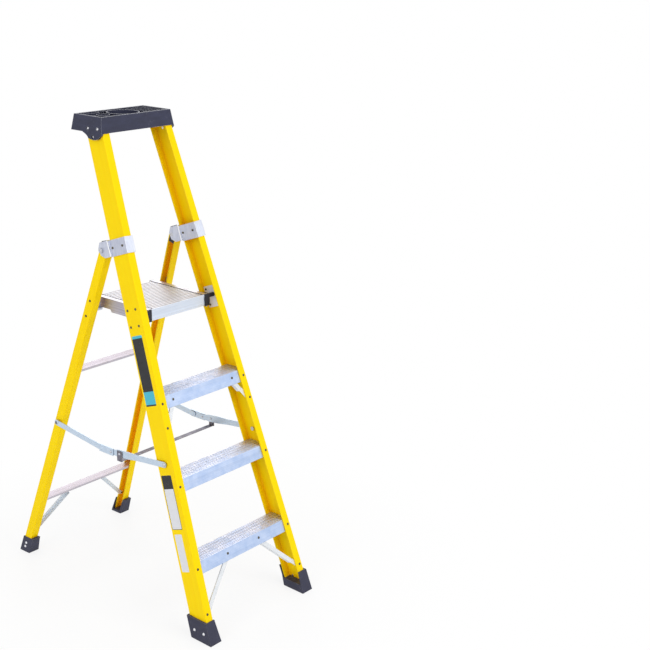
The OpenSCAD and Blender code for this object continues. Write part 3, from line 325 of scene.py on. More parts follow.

# %% [markdown]
# The resin colour is laid down in layers, as a painter would: the plain yellow, a warmer tone in some of the
# threads, painted shade in deep orange where the channel closes in, then pale worn corners and a few grey
# scuffs. The surface is a satin plastic, so it keeps a broad, weak shine.

# %% Glass-fibre finish
FRONT_LEAN = math.radians(19.4)
REAR_LEAN = math.radians(-19.35)
YELLOW = (0.985, 0.730, 0.0006)
YELLOW_WARM = (0.965, 0.640, 0.0004)
# Painted shade: the deep orange of closed-in channel faces.
YELLOW_PAINTED_SHADE = (1.0, 0.500, 0.0002)
YELLOW_WORN = (0.99, 0.84, 0.14)
SCUFF_GREY = (0.30, 0.25, 0.10)


def glass_fibre(name, lean):
    """Satin yellow pultruded profile, with its threads along a stile of that lean."""
    material, tree = new_material(name)
    threads = place_group(tree, fibre_streaks, lean=lean, fineness=1.0)
    edge_marks = place_group(tree, edge_marking, edge_radius=0.0012, patch_scale=38.0, evenness=0.25)
    shade = place_group(tree, cavity, reach=0.045)
    scratched = place_group(tree, scuffs, scale=2.4, amount=0.15)
    warm = maths(tree, "MULTIPLY", threads["Streak"], 0.5)
    cloudy = maths(tree, "MULTIPLY_ADD", threads["Cloud"], 0.22, warm)
    colour = blend_colours(tree, cloudy, YELLOW, YELLOW_WARM)
    # Painted shade where the cavity mask finds the channel closed in.
    painted_shade = spread(tree, shade["Mask"], 0.2, 0.8, 0.0, 0.95)
    colour = blend_colours(tree, painted_shade, colour, YELLOW_PAINTED_SHADE)
    rubbed = maths(tree, "MULTIPLY", edge_marks["Mask"], 0.55)
    colour = blend_colours(tree, rubbed, colour, YELLOW_WORN)
    colour = blend_colours(tree, maths(tree, "MULTIPLY", scratched["Mask"], 0.8), colour, SCUFF_GREY)
    surface = add(tree, "ShaderNodeBsdfPrincipled")
    value_into(tree, surface.inputs["Base Color"], colour)
    rough = maths(tree, "MULTIPLY_ADD", threads["Streak"], 0.12, 0.36)
    value_into(tree, surface.inputs["Roughness"], maths(tree, "MULTIPLY_ADD", scratched["Mask"], 0.3, rough))
    surface.inputs["Specular IOR Level"].default_value = 0.08
    value_into(tree, surface.inputs["Normal"], bumped(tree, threads["Height"], 0.35, 0.00012, edge_marks["Normal"]))
    show(tree, surface)
    return material


front_glass_fibre = glass_fibre("front_glass_fibre", FRONT_LEAN)
rear_glass_fibre = glass_fibre("rear_glass_fibre", REAR_LEAN)
print("materials", front_glass_fibre.name, rear_glass_fibre.name)

# %% [markdown]
# ## Aluminium
# Treads, platform and bars are extruded, so the die leaves faint straight lines along their length. Rolled
# and pressed brackets have a fine grain instead. The lines come from noise that is squeezed across the length
# and hardly changes along it, and the Stretch knob turns the same group to any direction.

# %% Drawn lines group
drawn_lines, knobs, results = new_group(
    "drawn_lines",
    [("Stretch", "Vector", (3.0, 500.0, 500.0))],
    [("Line", "Float"), ("Band", "Float"), ("Height", "Float")])
pulled = stretched(drawn_lines, on_the_piece(drawn_lines), knobs["Stretch"])
fine = noise(drawn_lines, pulled, 1.6, 3.0, 0.65)
broad = noise(drawn_lines, pulled, 0.22, 2.0, 0.5)
value_into(drawn_lines, results["Line"], spread(drawn_lines, fine, 0.36, 0.66))
value_into(drawn_lines, results["Band"], spread(drawn_lines, broad, 0.34, 0.66))
value_into(drawn_lines, results["Height"], fine)
print("group", drawn_lines.name)

# %% [markdown]
# Treads and platform have grip ridges along their length. A painted highlight on each crest and painted
# shadow with some dirt in each groove make the ridges read as fine bright and dark lines from far off.
# Measured level from front to back, each tread starts further back than the one below it, by the lean of the
# stiles. Taking that lean off first makes one pattern fit all three treads.

# %% Grip lines group
GROOVE_HALF_WIDTH = 0.0013
CREST_HALF_WIDTH = 0.0014
BEFORE_FIRST_GROOVE = 0.004
LINE_SOFTNESS = 0.3

grip_lines, knobs, results = new_group(
    "grip_lines",
    [("Lean", "Float", 0.0), ("Start", "Float", 0.0),
     ("Pitch", "Float", 0.0148), ("Crest step", "Float", 0.0038)],
    [("Groove", "Float"), ("Crest", "Float")])
spot = coordinates(grip_lines, on_the_piece(grip_lines))
leaned = maths(grip_lines, "MULTIPLY", spot["Z"], maths(grip_lines, "TANGENT", knobs["Lean"]))
unleaned = maths(grip_lines, "SUBTRACT", spot["Y"], leaned)
level = maths(grip_lines, "SUBTRACT", unleaned, knobs["Start"])
begun = maths(grip_lines, "GREATER_THAN", level, -BEFORE_FIRST_GROOVE)


def nearness(tree, place, pitch, half_width):
    """1 on lines that repeat with that pitch, and 0 between them."""
    turns = maths(tree, "ADD", maths(tree, "DIVIDE", place, pitch), 0.5)
    offset = maths(tree, "SUBTRACT", maths(tree, "FRACT", turns), 0.5)
    away = maths(tree, "MULTIPLY", maths(tree, "ABSOLUTE", offset), pitch)
    return spread(tree, away, (1 - LINE_SOFTNESS) * half_width, (1 + LINE_SOFTNESS) * half_width, 1.0, 0.0)


groove = nearness(grip_lines, level, knobs["Pitch"], GROOVE_HALF_WIDTH)
crest_place = maths(grip_lines, "SUBTRACT", level, knobs["Crest step"])
crest = nearness(grip_lines, crest_place, knobs["Pitch"], CREST_HALF_WIDTH)
value_into(grip_lines, results["Groove"], maths(grip_lines, "MULTIPLY", groove, begun))
value_into(grip_lines, results["Crest"], maths(grip_lines, "MULTIPLY", crest, begun))
print("group", grip_lines.name)

# %% [markdown]
# Two marks belong to a place and not to a texture: the painted highlight along the bend of the folded hinge
# bracket, and the painted shadow in the joint at each end of the platform's ridges. A mask made from the
# position itself puts each where it belongs.

# %% Marks at a known place
BEND_HALF_WIDTH = 0.0017
JOINT_SOFTNESS = 0.0006


def on_the_bend(tree, bend_depth):
    """1 along a bend that lies at one depth in the leaning stile, and 0 elsewhere."""
    spot = coordinates(tree, on_the_piece(tree))
    level = maths(tree, "MULTIPLY", spot["Y"], math.cos(FRONT_LEAN))
    depth = maths(tree, "SUBTRACT", level, maths(tree, "MULTIPLY", spot["Z"], math.sin(FRONT_LEAN)))
    return maths(tree, "COMPARE", depth, bend_depth, BEND_HALF_WIDTH)


def in_the_joint(tree, side, height):
    """1 further out than that side and above that height, and 0 elsewhere."""
    spot = coordinates(tree, on_the_piece(tree))
    outward = spread(tree, maths(tree, "ABSOLUTE", spot["X"]), side - JOINT_SOFTNESS, side)
    upper = maths(tree, "GREATER_THAN", spot["Z"], height)
    return maths(tree, "MULTIPLY", outward, upper)


print("masks for the bend and the joint are ready")

# %% [markdown]
# Bare metal shows the room. Faces that look up see warm ceiling light and the yellow around them, while
# upright faces see cooler light, so each aluminium finish paints that reflection as one tone for its upright
# faces and one for its top faces. Cloudy oxide, brighter rubbed edges and painted shade in the corners do the
# rest.

# %% Aluminium finish
LINES_ALONG_X = (3.0, 300.0, 300.0)
LINES_ALONG_Y = (300.0, 3.0, 300.0)
LINES_UPRIGHT = (300.0, 160.0, 5.0)
METAL_RUBBED = (0.93, 0.94, 0.97)
# Painted shade for closed-in corners of metal.
METAL_PAINTED_SHADE = (0.16, 0.13, 0.11)
# Painted shadow with some dirt, for the grooves of the grip ridges.
GROOVE_SHADE_AND_DIRT = (0.30, 0.24, 0.20)
METAL_DUST = (0.46, 0.42, 0.37)
JOINT_SHADOW = (0.035, 0.035, 0.045)
# Painted highlight, white, for ridge crests and the hinge bracket's bend.
PAINTED_HIGHLIGHT = (1.0, 1.0, 1.0)


def aluminium(name, front_tone, side_tone, top_tone, stretch, rough=0.36, corner_shade=0.5, line_share=0.3,
              cloud_share=0.45, edge_share=0.8, edge_radius=0.0007, edge_tone=METAL_RUBBED, bareness=1.0,
              grip=None, groove_share=0.6, crest_share=0.8, joint_at=None, bend_at=None):
    """Bare aluminium with lines along its length and one tone each for front, side and top faces.

    bareness is 1 for bright metal and less for a dull skin that scatters light. grip gives the knobs of the
    grip lines on its top, joint_at the side and height past which a painted joint shadow lies, and bend_at
    the depth in the leaning stile at which the sheet is folded and a painted highlight runs."""
    material, tree = new_material(name)
    lines = place_group(tree, drawn_lines, stretch=stretch)
    edge_marks = place_group(tree, edge_marking, edge_radius=edge_radius, patch_scale=90.0, evenness=0.5)
    shade = place_group(tree, cavity, reach=0.012)
    scratched = place_group(tree, scuffs, scale=4.0, amount=0.35)
    laid = place_group(tree, dust, amount=0.3)
    # Painted reflection of the room: one tone each for front, side and top faces.
    faces = facing(tree)
    sideways = spread(tree, maths(tree, "ABSOLUTE", faces["X"]), 0.4, 0.8)
    top = spread(tree, faces["Z"], 0.35, 0.8)
    colour = blend_colours(tree, sideways, front_tone, side_tone)
    colour = blend_colours(tree, top, colour, top_tone)
    oxide = spread(tree, noise(tree, on_the_piece(tree), 34.0, 5.0, 0.62), 0.36, 0.64, 0.0, cloud_share)
    lighter = [min(1.0, 0.30 + 0.72 * tone) for tone in front_tone]
    colour = blend_colours(tree, oxide, colour, lighter)
    darker = [0.42 * tone for tone in side_tone]
    colour = blend_colours(tree, maths(tree, "MULTIPLY", lines["Line"], line_share), colour, darker)
    colour = blend_colours(tree, maths(tree, "MULTIPLY", lines["Band"], 0.12), colour, darker)
    if grip:
        ridges = place_group(tree, grip_lines, **grip)
        groove = maths(tree, "MULTIPLY", maths(tree, "MULTIPLY", ridges["Groove"], top), groove_share)
        crest = maths(tree, "MULTIPLY", maths(tree, "MULTIPLY", ridges["Crest"], top), crest_share)
        # Painted shadow with some dirt in the grooves, and a painted highlight on the crests.
        colour = blend_colours(tree, groove, colour, GROOVE_SHADE_AND_DIRT)
        colour = blend_colours(tree, crest, colour, PAINTED_HIGHLIGHT)
    # Painted highlight along the bend of the folded sheet.
    if bend_at:
        bend = maths(tree, "MULTIPLY", on_the_bend(tree, bend_at), sideways)
        colour = blend_colours(tree, bend, colour, PAINTED_HIGHLIGHT)
    # Painted shade: darker where the cavity mask finds the metal closed in.
    painted_corner_shade = spread(tree, shade["Mask"], 0.15, 0.8, 0.0, corner_shade)
    colour = blend_colours(tree, painted_corner_shade, colour, METAL_PAINTED_SHADE)
    colour = blend_colours(tree, maths(tree, "MULTIPLY", edge_marks["Mask"], edge_share), colour, edge_tone)
    colour = blend_colours(tree, maths(tree, "MULTIPLY", scratched["Mask"], 0.7), colour, METAL_RUBBED)
    colour = blend_colours(tree, laid["Mask"], colour, METAL_DUST)
    # Painted shadow in the open joint between deck and rail.
    if joint_at:
        colour = blend_colours(tree, in_the_joint(tree, *joint_at), colour, JOINT_SHADOW)
    surface = add(tree, "ShaderNodeBsdfPrincipled")
    value_into(tree, surface.inputs["Base Color"], colour)
    metallic = spread(tree, laid["Mask"], 0.0, 1.0, bareness, 0.4 * bareness)
    value_into(tree, surface.inputs["Metallic"], metallic)
    brushed = maths(tree, "MULTIPLY_ADD", lines["Line"], 0.16, rough)
    value_into(tree, surface.inputs["Roughness"], maths(tree, "MULTIPLY_ADD", oxide, 0.15, brushed))
    value_into(tree, surface.inputs["Normal"], bumped(tree, lines["Height"], 0.4, 0.00008, edge_marks["Normal"]))
    show(tree, surface)
    return material


print("the aluminium finish is ready")

# %% [markdown]
# ### Grip lines on treads and platform
# The lowest tread gives the start of the pattern on all three, and the platform's box gives the start of its
# own. The platform also has an open line between its deck and the side rails, so a painted shadow darkens its
# finish just before the ends of the ridges. The deck's own corners say where those ends are.

# %% Ridged aluminium
TREAD_FIRST_GROOVE = 0.0246
DECK_FIRST_GROOVE = 0.0045
DECK_JOINT_WIDTH = 0.0032
DECK_JOINT_DEPTH = 0.006
CREST_TOLERANCE = 0.001

tread_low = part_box("tread_lower")[0]
tread_foot = tread_low[1] - tread_low[2] * math.tan(FRONT_LEAN)
TREAD_GRIP = {"lean": FRONT_LEAN, "start": tread_foot + TREAD_FIRST_GROOVE, "pitch": 0.0148,
              "crest_step": 0.0038}

deck_low, deck_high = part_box("platform_deck")
deck_piece = nodes["platform_deck"]
deck_corners = [deck_piece.matrix_world @ corner.co for corner in deck_piece.data.vertices]
crest_level = deck_high[2] - CREST_TOLERANCE
deck_half = max(abs(corner.x) for corner in deck_corners if corner.z > crest_level)
DECK_GRIP = {"lean": 0.0, "start": deck_low[1] + DECK_FIRST_GROOVE, "pitch": 0.0134,
             "crest_step": 0.0028}

tread_metal = aluminium("tread_metal", (0.47, 0.60, 0.86), (0.52, 0.60, 0.80), (0.88, 0.85, 0.89),
                        LINES_ALONG_X, corner_shade=0.15, line_share=0.1, cloud_share=0.75, edge_share=0.05,
                        grip=TREAD_GRIP, groove_share=0.6, crest_share=0.2)
deck_metal = aluminium("deck_metal", (0.62, 0.66, 0.76), (0.62, 0.66, 0.76), (0.72, 0.70, 0.76),
                       LINES_ALONG_X, rough=0.42, line_share=0.2, bareness=0.65, edge_share=0.4,
                       grip=DECK_GRIP, groove_share=0.4,
                       joint_at=(deck_half - DECK_JOINT_WIDTH, deck_high[2] - DECK_JOINT_DEPTH))
print("ridges end", round(1000 * deck_half, 1), "mm from the middle of the platform")

# %% [markdown]
# ### Plain profiles, brackets and braces
# The rest differs in tone, in the run of its lines and in how bare it is. The hinge bracket is folded round
# the stile, and the fold behind the stile carries a painted highlight. It lies at a fixed depth before the
# hinge bolt, measured square to the leaning stile. The braces are thin strip with a dark rim along their
# edges, partly sheared metal and partly painted edge shade.

# %% Plain aluminium
BEND_BEFORE_BOLT = 0.0405
bolt_low, bolt_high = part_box("hinge_bolt_left")
bolt_y = (bolt_low[1] + bolt_high[1]) / 2
bolt_z = (bolt_low[2] + bolt_high[2]) / 2
bolt_depth = bolt_y * math.cos(FRONT_LEAN) - bolt_z * math.sin(FRONT_LEAN)

fascia_metal = aluminium("fascia_metal", (0.78, 0.86, 0.99), (0.70, 0.76, 0.90), (0.92, 0.92, 0.96),
                         LINES_ALONG_X, line_share=0.15, cloud_share=0.3)
rail_metal = aluminium("rail_metal", (0.57, 0.56, 0.67), (0.54, 0.52, 0.63), (0.84, 0.82, 0.88),
                       LINES_ALONG_Y, line_share=0.5)
bar_metal = aluminium("bar_metal", (0.64, 0.60, 0.67), (0.62, 0.59, 0.66), (0.66, 0.60, 0.66),
                      LINES_ALONG_X, line_share=0.15, cloud_share=0.2, corner_shade=0.3, edge_share=0.5)
bracket_metal = aluminium("bracket_metal", (0.70, 0.74, 0.85), (0.56, 0.59, 0.71), (0.80, 0.82, 0.88),
                          LINES_UPRIGHT, line_share=0.15, corner_shade=0.1, edge_share=1.0, edge_radius=0.0016,
                          bend_at=bolt_depth - BEND_BEFORE_BOLT)
seat_metal = aluminium("seat_metal", (0.86, 0.89, 0.97), (0.82, 0.86, 0.94), (0.90, 0.91, 0.95),
                       LINES_UPRIGHT, line_share=0.1, corner_shade=0.08, bareness=0.4)
# The braces' dark edge tones are partly sheared metal and partly painted edge shade.
brace_metal = aluminium("brace_metal", (0.80, 0.83, 0.86), (0.76, 0.80, 0.85), (0.90, 0.92, 0.94),
                        LINES_ALONG_X, line_share=0.12, corner_shade=0.15, edge_share=0.75, edge_radius=0.0010,
                        edge_tone=(0.40, 0.39, 0.38), bareness=0.6)
rear_brace_metal = aluminium("rear_brace_metal", (0.80, 0.88, 0.96), (0.78, 0.86, 0.94), (0.84, 0.90, 0.97),
                             LINES_ALONG_X, line_share=0.04, corner_shade=0.05, edge_share=0.5, edge_radius=0.0005,
                             edge_tone=(0.36, 0.38, 0.42), bareness=0.4)
print("nine aluminium finishes")

# %% [markdown]
# ## Plated steel
# The spreader is pressed from steel strip and zinc plated, which gives a slightly mottled, bluish grey skin.
# The tie bar under it is a darker steel, and the rivets are plated too. Cells of Voronoi noise, blurred
# together, give the mottle of the plating, and fine noise gives the press marks.

# %% Plated mottle group
plating, knobs, results = new_group(
    "plating", [("Cell scale", "Float", 300.0)], [("Mottle", "Float"), ("Height", "Float")])
cells = add(plating, "ShaderNodeTexVoronoi", feature="SMOOTH_F1")
value_into(plating, cells.inputs["Vector"], on_the_piece(plating))
value_into(plating, cells.inputs["Scale"], knobs["Cell scale"])
cloud = noise(plating, on_the_piece(plating), 60.0, 5.0, 0.65)
clouded = maths(plating, "MULTIPLY", cloud, 0.8)
mottle = maths(plating, "MULTIPLY_ADD", cells.outputs["Distance"], 0.35, clouded)
value_into(plating, results["Mottle"], spread(plating, mottle, 0.3, 0.75))
value_into(plating, results["Height"], noise(plating, on_the_piece(plating), 1400.0, 2.0))
print("group", plating.name)

# %% [markdown]
# The mottle shifts both tone and shine. Each rear arm of the spreader carries the head of its bolt in the
# same solid, and a mask on the head's place gives it the darker steel of a bolt.

# %% Plated steel finish
HEAD_TONE = (0.20, 0.20, 0.22)


def on_a_head(tree, y, z, radius, x):
    """1 on what stands further out than x and lies within the radius of a bolt's axis, and 0 elsewhere."""
    spot = coordinates(tree, on_the_piece(tree))
    squares = []
    for axis, middle in (("Y", y), ("Z", z)):
        offset = maths(tree, "SUBTRACT", spot[axis], middle)
        squares.append(maths(tree, "MULTIPLY", offset, offset))
    away = maths(tree, "SQRT", maths(tree, "ADD", *squares))
    near = maths(tree, "LESS_THAN", away, radius)
    proud = maths(tree, "GREATER_THAN", maths(tree, "ABSOLUTE", spot["X"]), x)
    return maths(tree, "MULTIPLY", near, proud)


def plated_steel(name, tone, dull_tone, rough, cell_scale=300.0, rim=(0.93, 0.94, 0.95), edge_radius=0.0006,
                 head=None):
    """Plated steel, mottled between two tones, with a rim tone along its edges and painted shade in its
    corners.

    head is (y, z, radius, x) of a bolt head that is part of the piece, further out than that x."""
    material, tree = new_material(name)
    skin = place_group(tree, plating, cell_scale=cell_scale)
    edge_marks = place_group(tree, edge_marking, edge_radius=edge_radius, patch_scale=120.0, evenness=0.9)
    shade = place_group(tree, cavity, reach=0.008)
    scratched = place_group(tree, scuffs, scale=5.0, amount=0.35)
    colour = blend_colours(tree, skin["Mottle"], tone, dull_tone)
    if head:
        colour = blend_colours(tree, on_a_head(tree, *head), colour, HEAD_TONE)
    # Painted shade in the corners, from the cavity mask.
    colour = blend_colours(tree, spread(tree, shade["Mask"], 0.2, 0.8, 0.0, 0.6), colour, METAL_PAINTED_SHADE)
    colour = blend_colours(tree, maths(tree, "MULTIPLY", edge_marks["Mask"], 0.75), colour, rim)
    colour = blend_colours(tree, scratched["Mask"], colour, rim)
    surface = add(tree, "ShaderNodeBsdfPrincipled")
    value_into(tree, surface.inputs["Base Color"], colour)
    surface.inputs["Metallic"].default_value = 1.0
    value_into(tree, surface.inputs["Roughness"], maths(tree, "MULTIPLY_ADD", skin["Mottle"], 0.2, rough))
    value_into(tree, surface.inputs["Normal"], bumped(tree, skin["Height"], 0.3, 0.00006, edge_marks["Normal"]))
    show(tree, surface)
    return material


print("the plated steel finish is ready")

# %% [markdown]
# The arms of the spreader have a dark rim along their edges, partly sheared metal and partly painted edge
# shade. The head's place comes from the bolt that it sits on: the boxes of the bosses give the axis, and the
# box of an arm gives the face that the head stands proud of.

# %% Steel for spreader, rivets and bolts
HEAD_RADIUS = 0.0060
HEAD_CLEARANCE = 0.0003
# Dark rim along the spreader's edges: partly sheared metal, partly painted edge shade.
SHEARED_RIM_AND_EDGE_SHADE = (0.30, 0.34, 0.40)

boss_low, boss_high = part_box("stay_rear_bosses")
arm_face = -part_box("stay_front_arm_left")[0][0]
REAR_HEAD = ((boss_low[1] + boss_high[1]) / 2, (boss_low[2] + boss_high[2]) / 2, HEAD_RADIUS,
             HEAD_CLEARANCE + arm_face)

spreader_steel = plated_steel("spreader_steel", (0.62, 0.72, 0.84), (0.54, 0.64, 0.76), 0.32, rim=SHEARED_RIM_AND_EDGE_SHADE,
                              edge_radius=0.0009)
rear_arm_steel = plated_steel("rear_arm_steel", (0.62, 0.72, 0.84), (0.54, 0.64, 0.76), 0.32, rim=SHEARED_RIM_AND_EDGE_SHADE,
                              edge_radius=0.0009, head=REAR_HEAD)
tie_bar_steel = plated_steel("tie_bar_steel", (0.26, 0.25, 0.30), (0.13, 0.12, 0.14), 0.38)
bright_rivet = plated_steel("bright_rivet", (0.86, 0.87, 0.90), (0.62, 0.62, 0.66), 0.24, 700.0)
dull_rivet = plated_steel("dull_rivet", (0.17, 0.14, 0.09), (0.08, 0.07, 0.05), 0.45, 700.0,
                          rim=(0.40, 0.36, 0.26))
bolt_steel = plated_steel("bolt_steel", (0.66, 0.68, 0.74), (0.50, 0.51, 0.56), 0.34, 500.0)
print("six steel finishes, rear bolt head at", [round(value, 4) for value in REAR_HEAD])

# %% [markdown]
# ## Moulded plastics
# The tray and the shoes are moulded in a navy-black plastic with a fine spark-eroded grain. The corners of
# the platform and the caps are a plainer black. Grain is tiny noise in the bump, and edges that are handled
# go a little lighter and smoother. Together with a painted highlight along them, this draws every rib and rim
# with a thin pale line.

# %% Moulded grain group
moulded_grain, knobs, results = new_group(
    "moulded_grain",
    [("Grain scale", "Float", 1500.0)],
    [("Tone", "Float"), ("Cloud", "Float"), ("Height", "Float")])
grain = noise(moulded_grain, on_the_piece(moulded_grain), knobs["Grain scale"], 2.0, 0.6)
flattened = stretched(moulded_grain, on_the_piece(moulded_grain), (1.0, 1.0, 2.4))
flow = noise(moulded_grain, flattened, 22.0, 4.0, 0.6)
value_into(moulded_grain, results["Tone"], spread(moulded_grain, grain, 0.35, 0.65))
value_into(moulded_grain, results["Cloud"], spread(moulded_grain, flow, 0.36, 0.64))
value_into(moulded_grain, results["Height"], grain)
print("group", moulded_grain.name)

# %% [markdown]
# The finish mixes two close tones by the grain, paints shade where it is closed in, then lightens handled
# edges, partly as wear and partly as a painted highlight, and lays a little dust on top. The polish of an
# edge comes from the same mask as its colour.

# %% Moulded plastic finish
PLASTIC_DUST = (0.34, 0.33, 0.32)


def moulded_plastic(name, tone, pale_tone, edge_tone, rough, grain_scale, edge_share=0.6, dust_amount=0.4):
    """Grained dark plastic with paler edges, partly handled wear and partly painted highlight, and a little
    dust on top.
    """
    material, tree = new_material(name)
    skin = place_group(tree, moulded_grain, grain_scale=grain_scale)
    edge_marks = place_group(tree, edge_marking, edge_radius=0.0011, patch_scale=70.0, evenness=0.45)
    shade = place_group(tree, cavity, reach=0.02)
    scratched = place_group(tree, scuffs, scale=3.5, amount=0.22)
    laid = place_group(tree, dust, amount=dust_amount)
    speckle = maths(tree, "MULTIPLY_ADD", skin["Tone"], 0.45, maths(tree, "MULTIPLY", skin["Cloud"], 0.4))
    colour = blend_colours(tree, speckle, tone, pale_tone)
    # Painted shade where the cavity mask finds the plastic closed in.
    painted_shade = [0.3 * value for value in tone]
    colour = blend_colours(tree, spread(tree, shade["Mask"], 0.2, 0.9, 0.0, 0.7), colour, painted_shade)
    # Paler edges: partly wear, partly a painted highlight.
    colour = blend_colours(tree, maths(tree, "MULTIPLY", edge_marks["Mask"], edge_share), colour, edge_tone)
    colour = blend_colours(tree, maths(tree, "MULTIPLY", scratched["Mask"], 0.6), colour, edge_tone)
    colour = blend_colours(tree, laid["Mask"], colour, PLASTIC_DUST)
    surface = add(tree, "ShaderNodeBsdfPrincipled")
    value_into(tree, surface.inputs["Base Color"], colour)
    polished = maths(tree, "MULTIPLY_ADD", edge_marks["Mask"], -0.12, rough)
    value_into(tree, surface.inputs["Roughness"], maths(tree, "MULTIPLY_ADD", skin["Tone"], 0.1, polished))
    surface.inputs["Specular IOR Level"].default_value = 0.4
    value_into(tree, surface.inputs["Normal"], bumped(tree, skin["Height"], 0.5, 0.00014, edge_marks["Normal"]))
    show(tree, surface)
    return material


tray_plastic = moulded_plastic("tray_plastic", (0.015, 0.017, 0.040), (0.031, 0.035, 0.079),
                               (0.76, 0.78, 0.86), 0.46, 1500.0, edge_share=0.9, dust_amount=0.25)
shoe_plastic = moulded_plastic("shoe_plastic", (0.024, 0.025, 0.050), (0.041, 0.043, 0.080),
                               (0.30, 0.31, 0.36), 0.55, 1100.0, edge_share=0.6)
corner_plastic = moulded_plastic("corner_plastic", (0.009, 0.009, 0.016), (0.016, 0.017, 0.028),
                                 (0.14, 0.14, 0.18), 0.42, 1300.0, edge_share=0.35, dust_amount=0.1)
print("three plastic finishes")

# %% [markdown]
# ## Which piece gets which finish
# The record names a material slot for every CAD node, such as bare aluminium or dark plastic, and each slot
# has one finish. Some nodes of a slot want a variant, such as lines that run another way. Their finish goes
# by the start of the name, and the longest start that fits wins over a shorter one.

# %% Give every node its finish
FINISH_OF_SLOT = {
    "yellow_rail": front_glass_fibre,
    "bare_aluminium": brace_metal,
    "dark_plastic": tray_plastic,
    "shoe_rubber": shoe_plastic,
    "black_plastic": corner_plastic,
    "rivet_steel": bright_rivet,
    "dark_rivet": dull_rivet,
    "zinc_steel": spreader_steel,
}
FINISH_OF_NAME = {
    "rear_stile": rear_glass_fibre,
    "tread_": tread_metal,
    "tread_rivets": dull_rivet,
    "platform_deck": deck_metal,
    "platform_fascia": fascia_metal,
    "platform_rail": rail_metal,
    "platform_rest": bracket_metal,
    "platform_bracket": seat_metal,
    "platform_bracket_rivets": dull_rivet,
    "rear_bar": bar_metal,
    "rear_brace": rear_brace_metal,
    "hinge_bracket": bracket_metal,
    "hinge_bracket_rivets": dull_rivet,
    "hinge_bolt": bolt_steel,
    "stay_tie_bar": tie_bar_steel,
    "stay_rear_arm": rear_arm_steel,
    "stay_front_bolts": bolt_steel,
    "stay_rear_bosses": bolt_steel,
    "stay_link_rivets": bolt_steel,
}
slot_of = {entry["node"]: entry["material_slot"] for entry in frame["record"]["subparts"]}


def finish_for(node_name):
    """The finish of the longest name that the node's name starts with, or else the finish of its slot."""
    fitting = [start for start in FINISH_OF_NAME if node_name.startswith(start)]
    if fitting:
        return FINISH_OF_NAME[max(fitting, key=len)]
    return FINISH_OF_SLOT[slot_of[node_name]]


for node_name, piece in nodes.items():
    chosen = finish_for(node_name)
    if not piece.material_slots:
        piece.data.materials.append(chosen)
    for slot in piece.material_slots:
        slot.material = chosen
print(len(nodes), "nodes dressed")

# %% [markdown]
# ## Stickers on the near stile
# Three vinyl stickers run down the outer web of the left front stile. On the real product they carry print.
# Here they stay blank: only their plain fields and bands of colour are kept. Each one is a thin plate with
# round corners, built flat in its own space, where Y runs across the stile and Z up along it, and then one
# matrix lays it on the leaning, splayed web. Because its own coordinates lie along the stile, its bands are
# simply a ramp along Z.

# %% Sticker helpers
HINGE_DEPTH = 0.1193    # from the stile's front to the hinge, square to the stile
HINGE_ALONG = 1.3245    # from the stile's foot to the hinge, along the stile
STILE_FOOT_OUT = 0.2445
VINYL_THICK = 0.00022
VINYL_GAP = 0.00003
CORNER_STEPS = 6

joints = {joint["name"]: joint for joint in frame["record"]["behaviour"]["joints"]}
hinge_y = joints["rear_fold"]["pos_m"][1]
foot_y = hinge_y - (HINGE_DEPTH * math.cos(FRONT_LEAN) + HINGE_ALONG * math.sin(FRONT_LEAN))
on_left_web = (Matrix.Translation((0.0, foot_y, 0.0)) @ Matrix.Rotation(-FRONT_LEAN, 4, "X")
               @ Matrix.Translation((-STILE_FOOT_OUT, 0.0, 0.0)) @ Matrix.Rotation(SPLAY, 4, "Y"))


def rounded_plate(name, low, high, corner, lift, thickness):
    """A flat plate with round corners between two points (depth, along), lifted off the web towards -X."""
    middles = ((high[0] - corner, high[1] - corner, 0), (low[0] + corner, high[1] - corner, 90),
               (low[0] + corner, low[1] + corner, 180), (high[0] - corner, low[1] + corner, 270))
    outline = []
    for depth, along, start in middles:
        for step in range(CORNER_STEPS + 1):
            angle = math.radians(start + 90 * step / CORNER_STEPS)
            outline.append((depth + corner * math.cos(angle), along + corner * math.sin(angle)))
    shape = bmesh.new()
    inner = [shape.verts.new((-lift, depth, along)) for depth, along in outline]
    outer = [shape.verts.new((-lift - thickness, depth, along)) for depth, along in outline]
    shape.faces.new(inner)
    shape.faces.new(list(reversed(outer)))
    count = len(outline)
    for index in range(count):
        following = (index + 1) % count
        shape.faces.new((inner[following], inner[index], outer[index], outer[following]))
    bmesh.ops.recalc_face_normals(shape, faces=shape.faces)
    mesh = bpy.data.meshes.new(name)
    shape.to_mesh(mesh)
    shape.free()
    plate = bpy.data.objects.new(name, mesh)
    bpy.context.scene.collection.objects.link(plate)
    plate.matrix_world = on_left_web
    return plate


print("the web's foot is at", round(foot_y, 4))

# %% [markdown]
# Vinyl is smooth, but it picks up dirt and rubs off at its border. The ramp has hard steps, one for each
# printed band, and the same dust and scratches as elsewhere make it part of the ladder.

# %% Vinyl finish
VINYL_FADED = (0.55, 0.55, 0.58)
VINYL_RUBBED = (0.62, 0.60, 0.55)
VINYL_SCUFFED = (0.50, 0.49, 0.46)
BAND_SOFTNESS = 0.0002


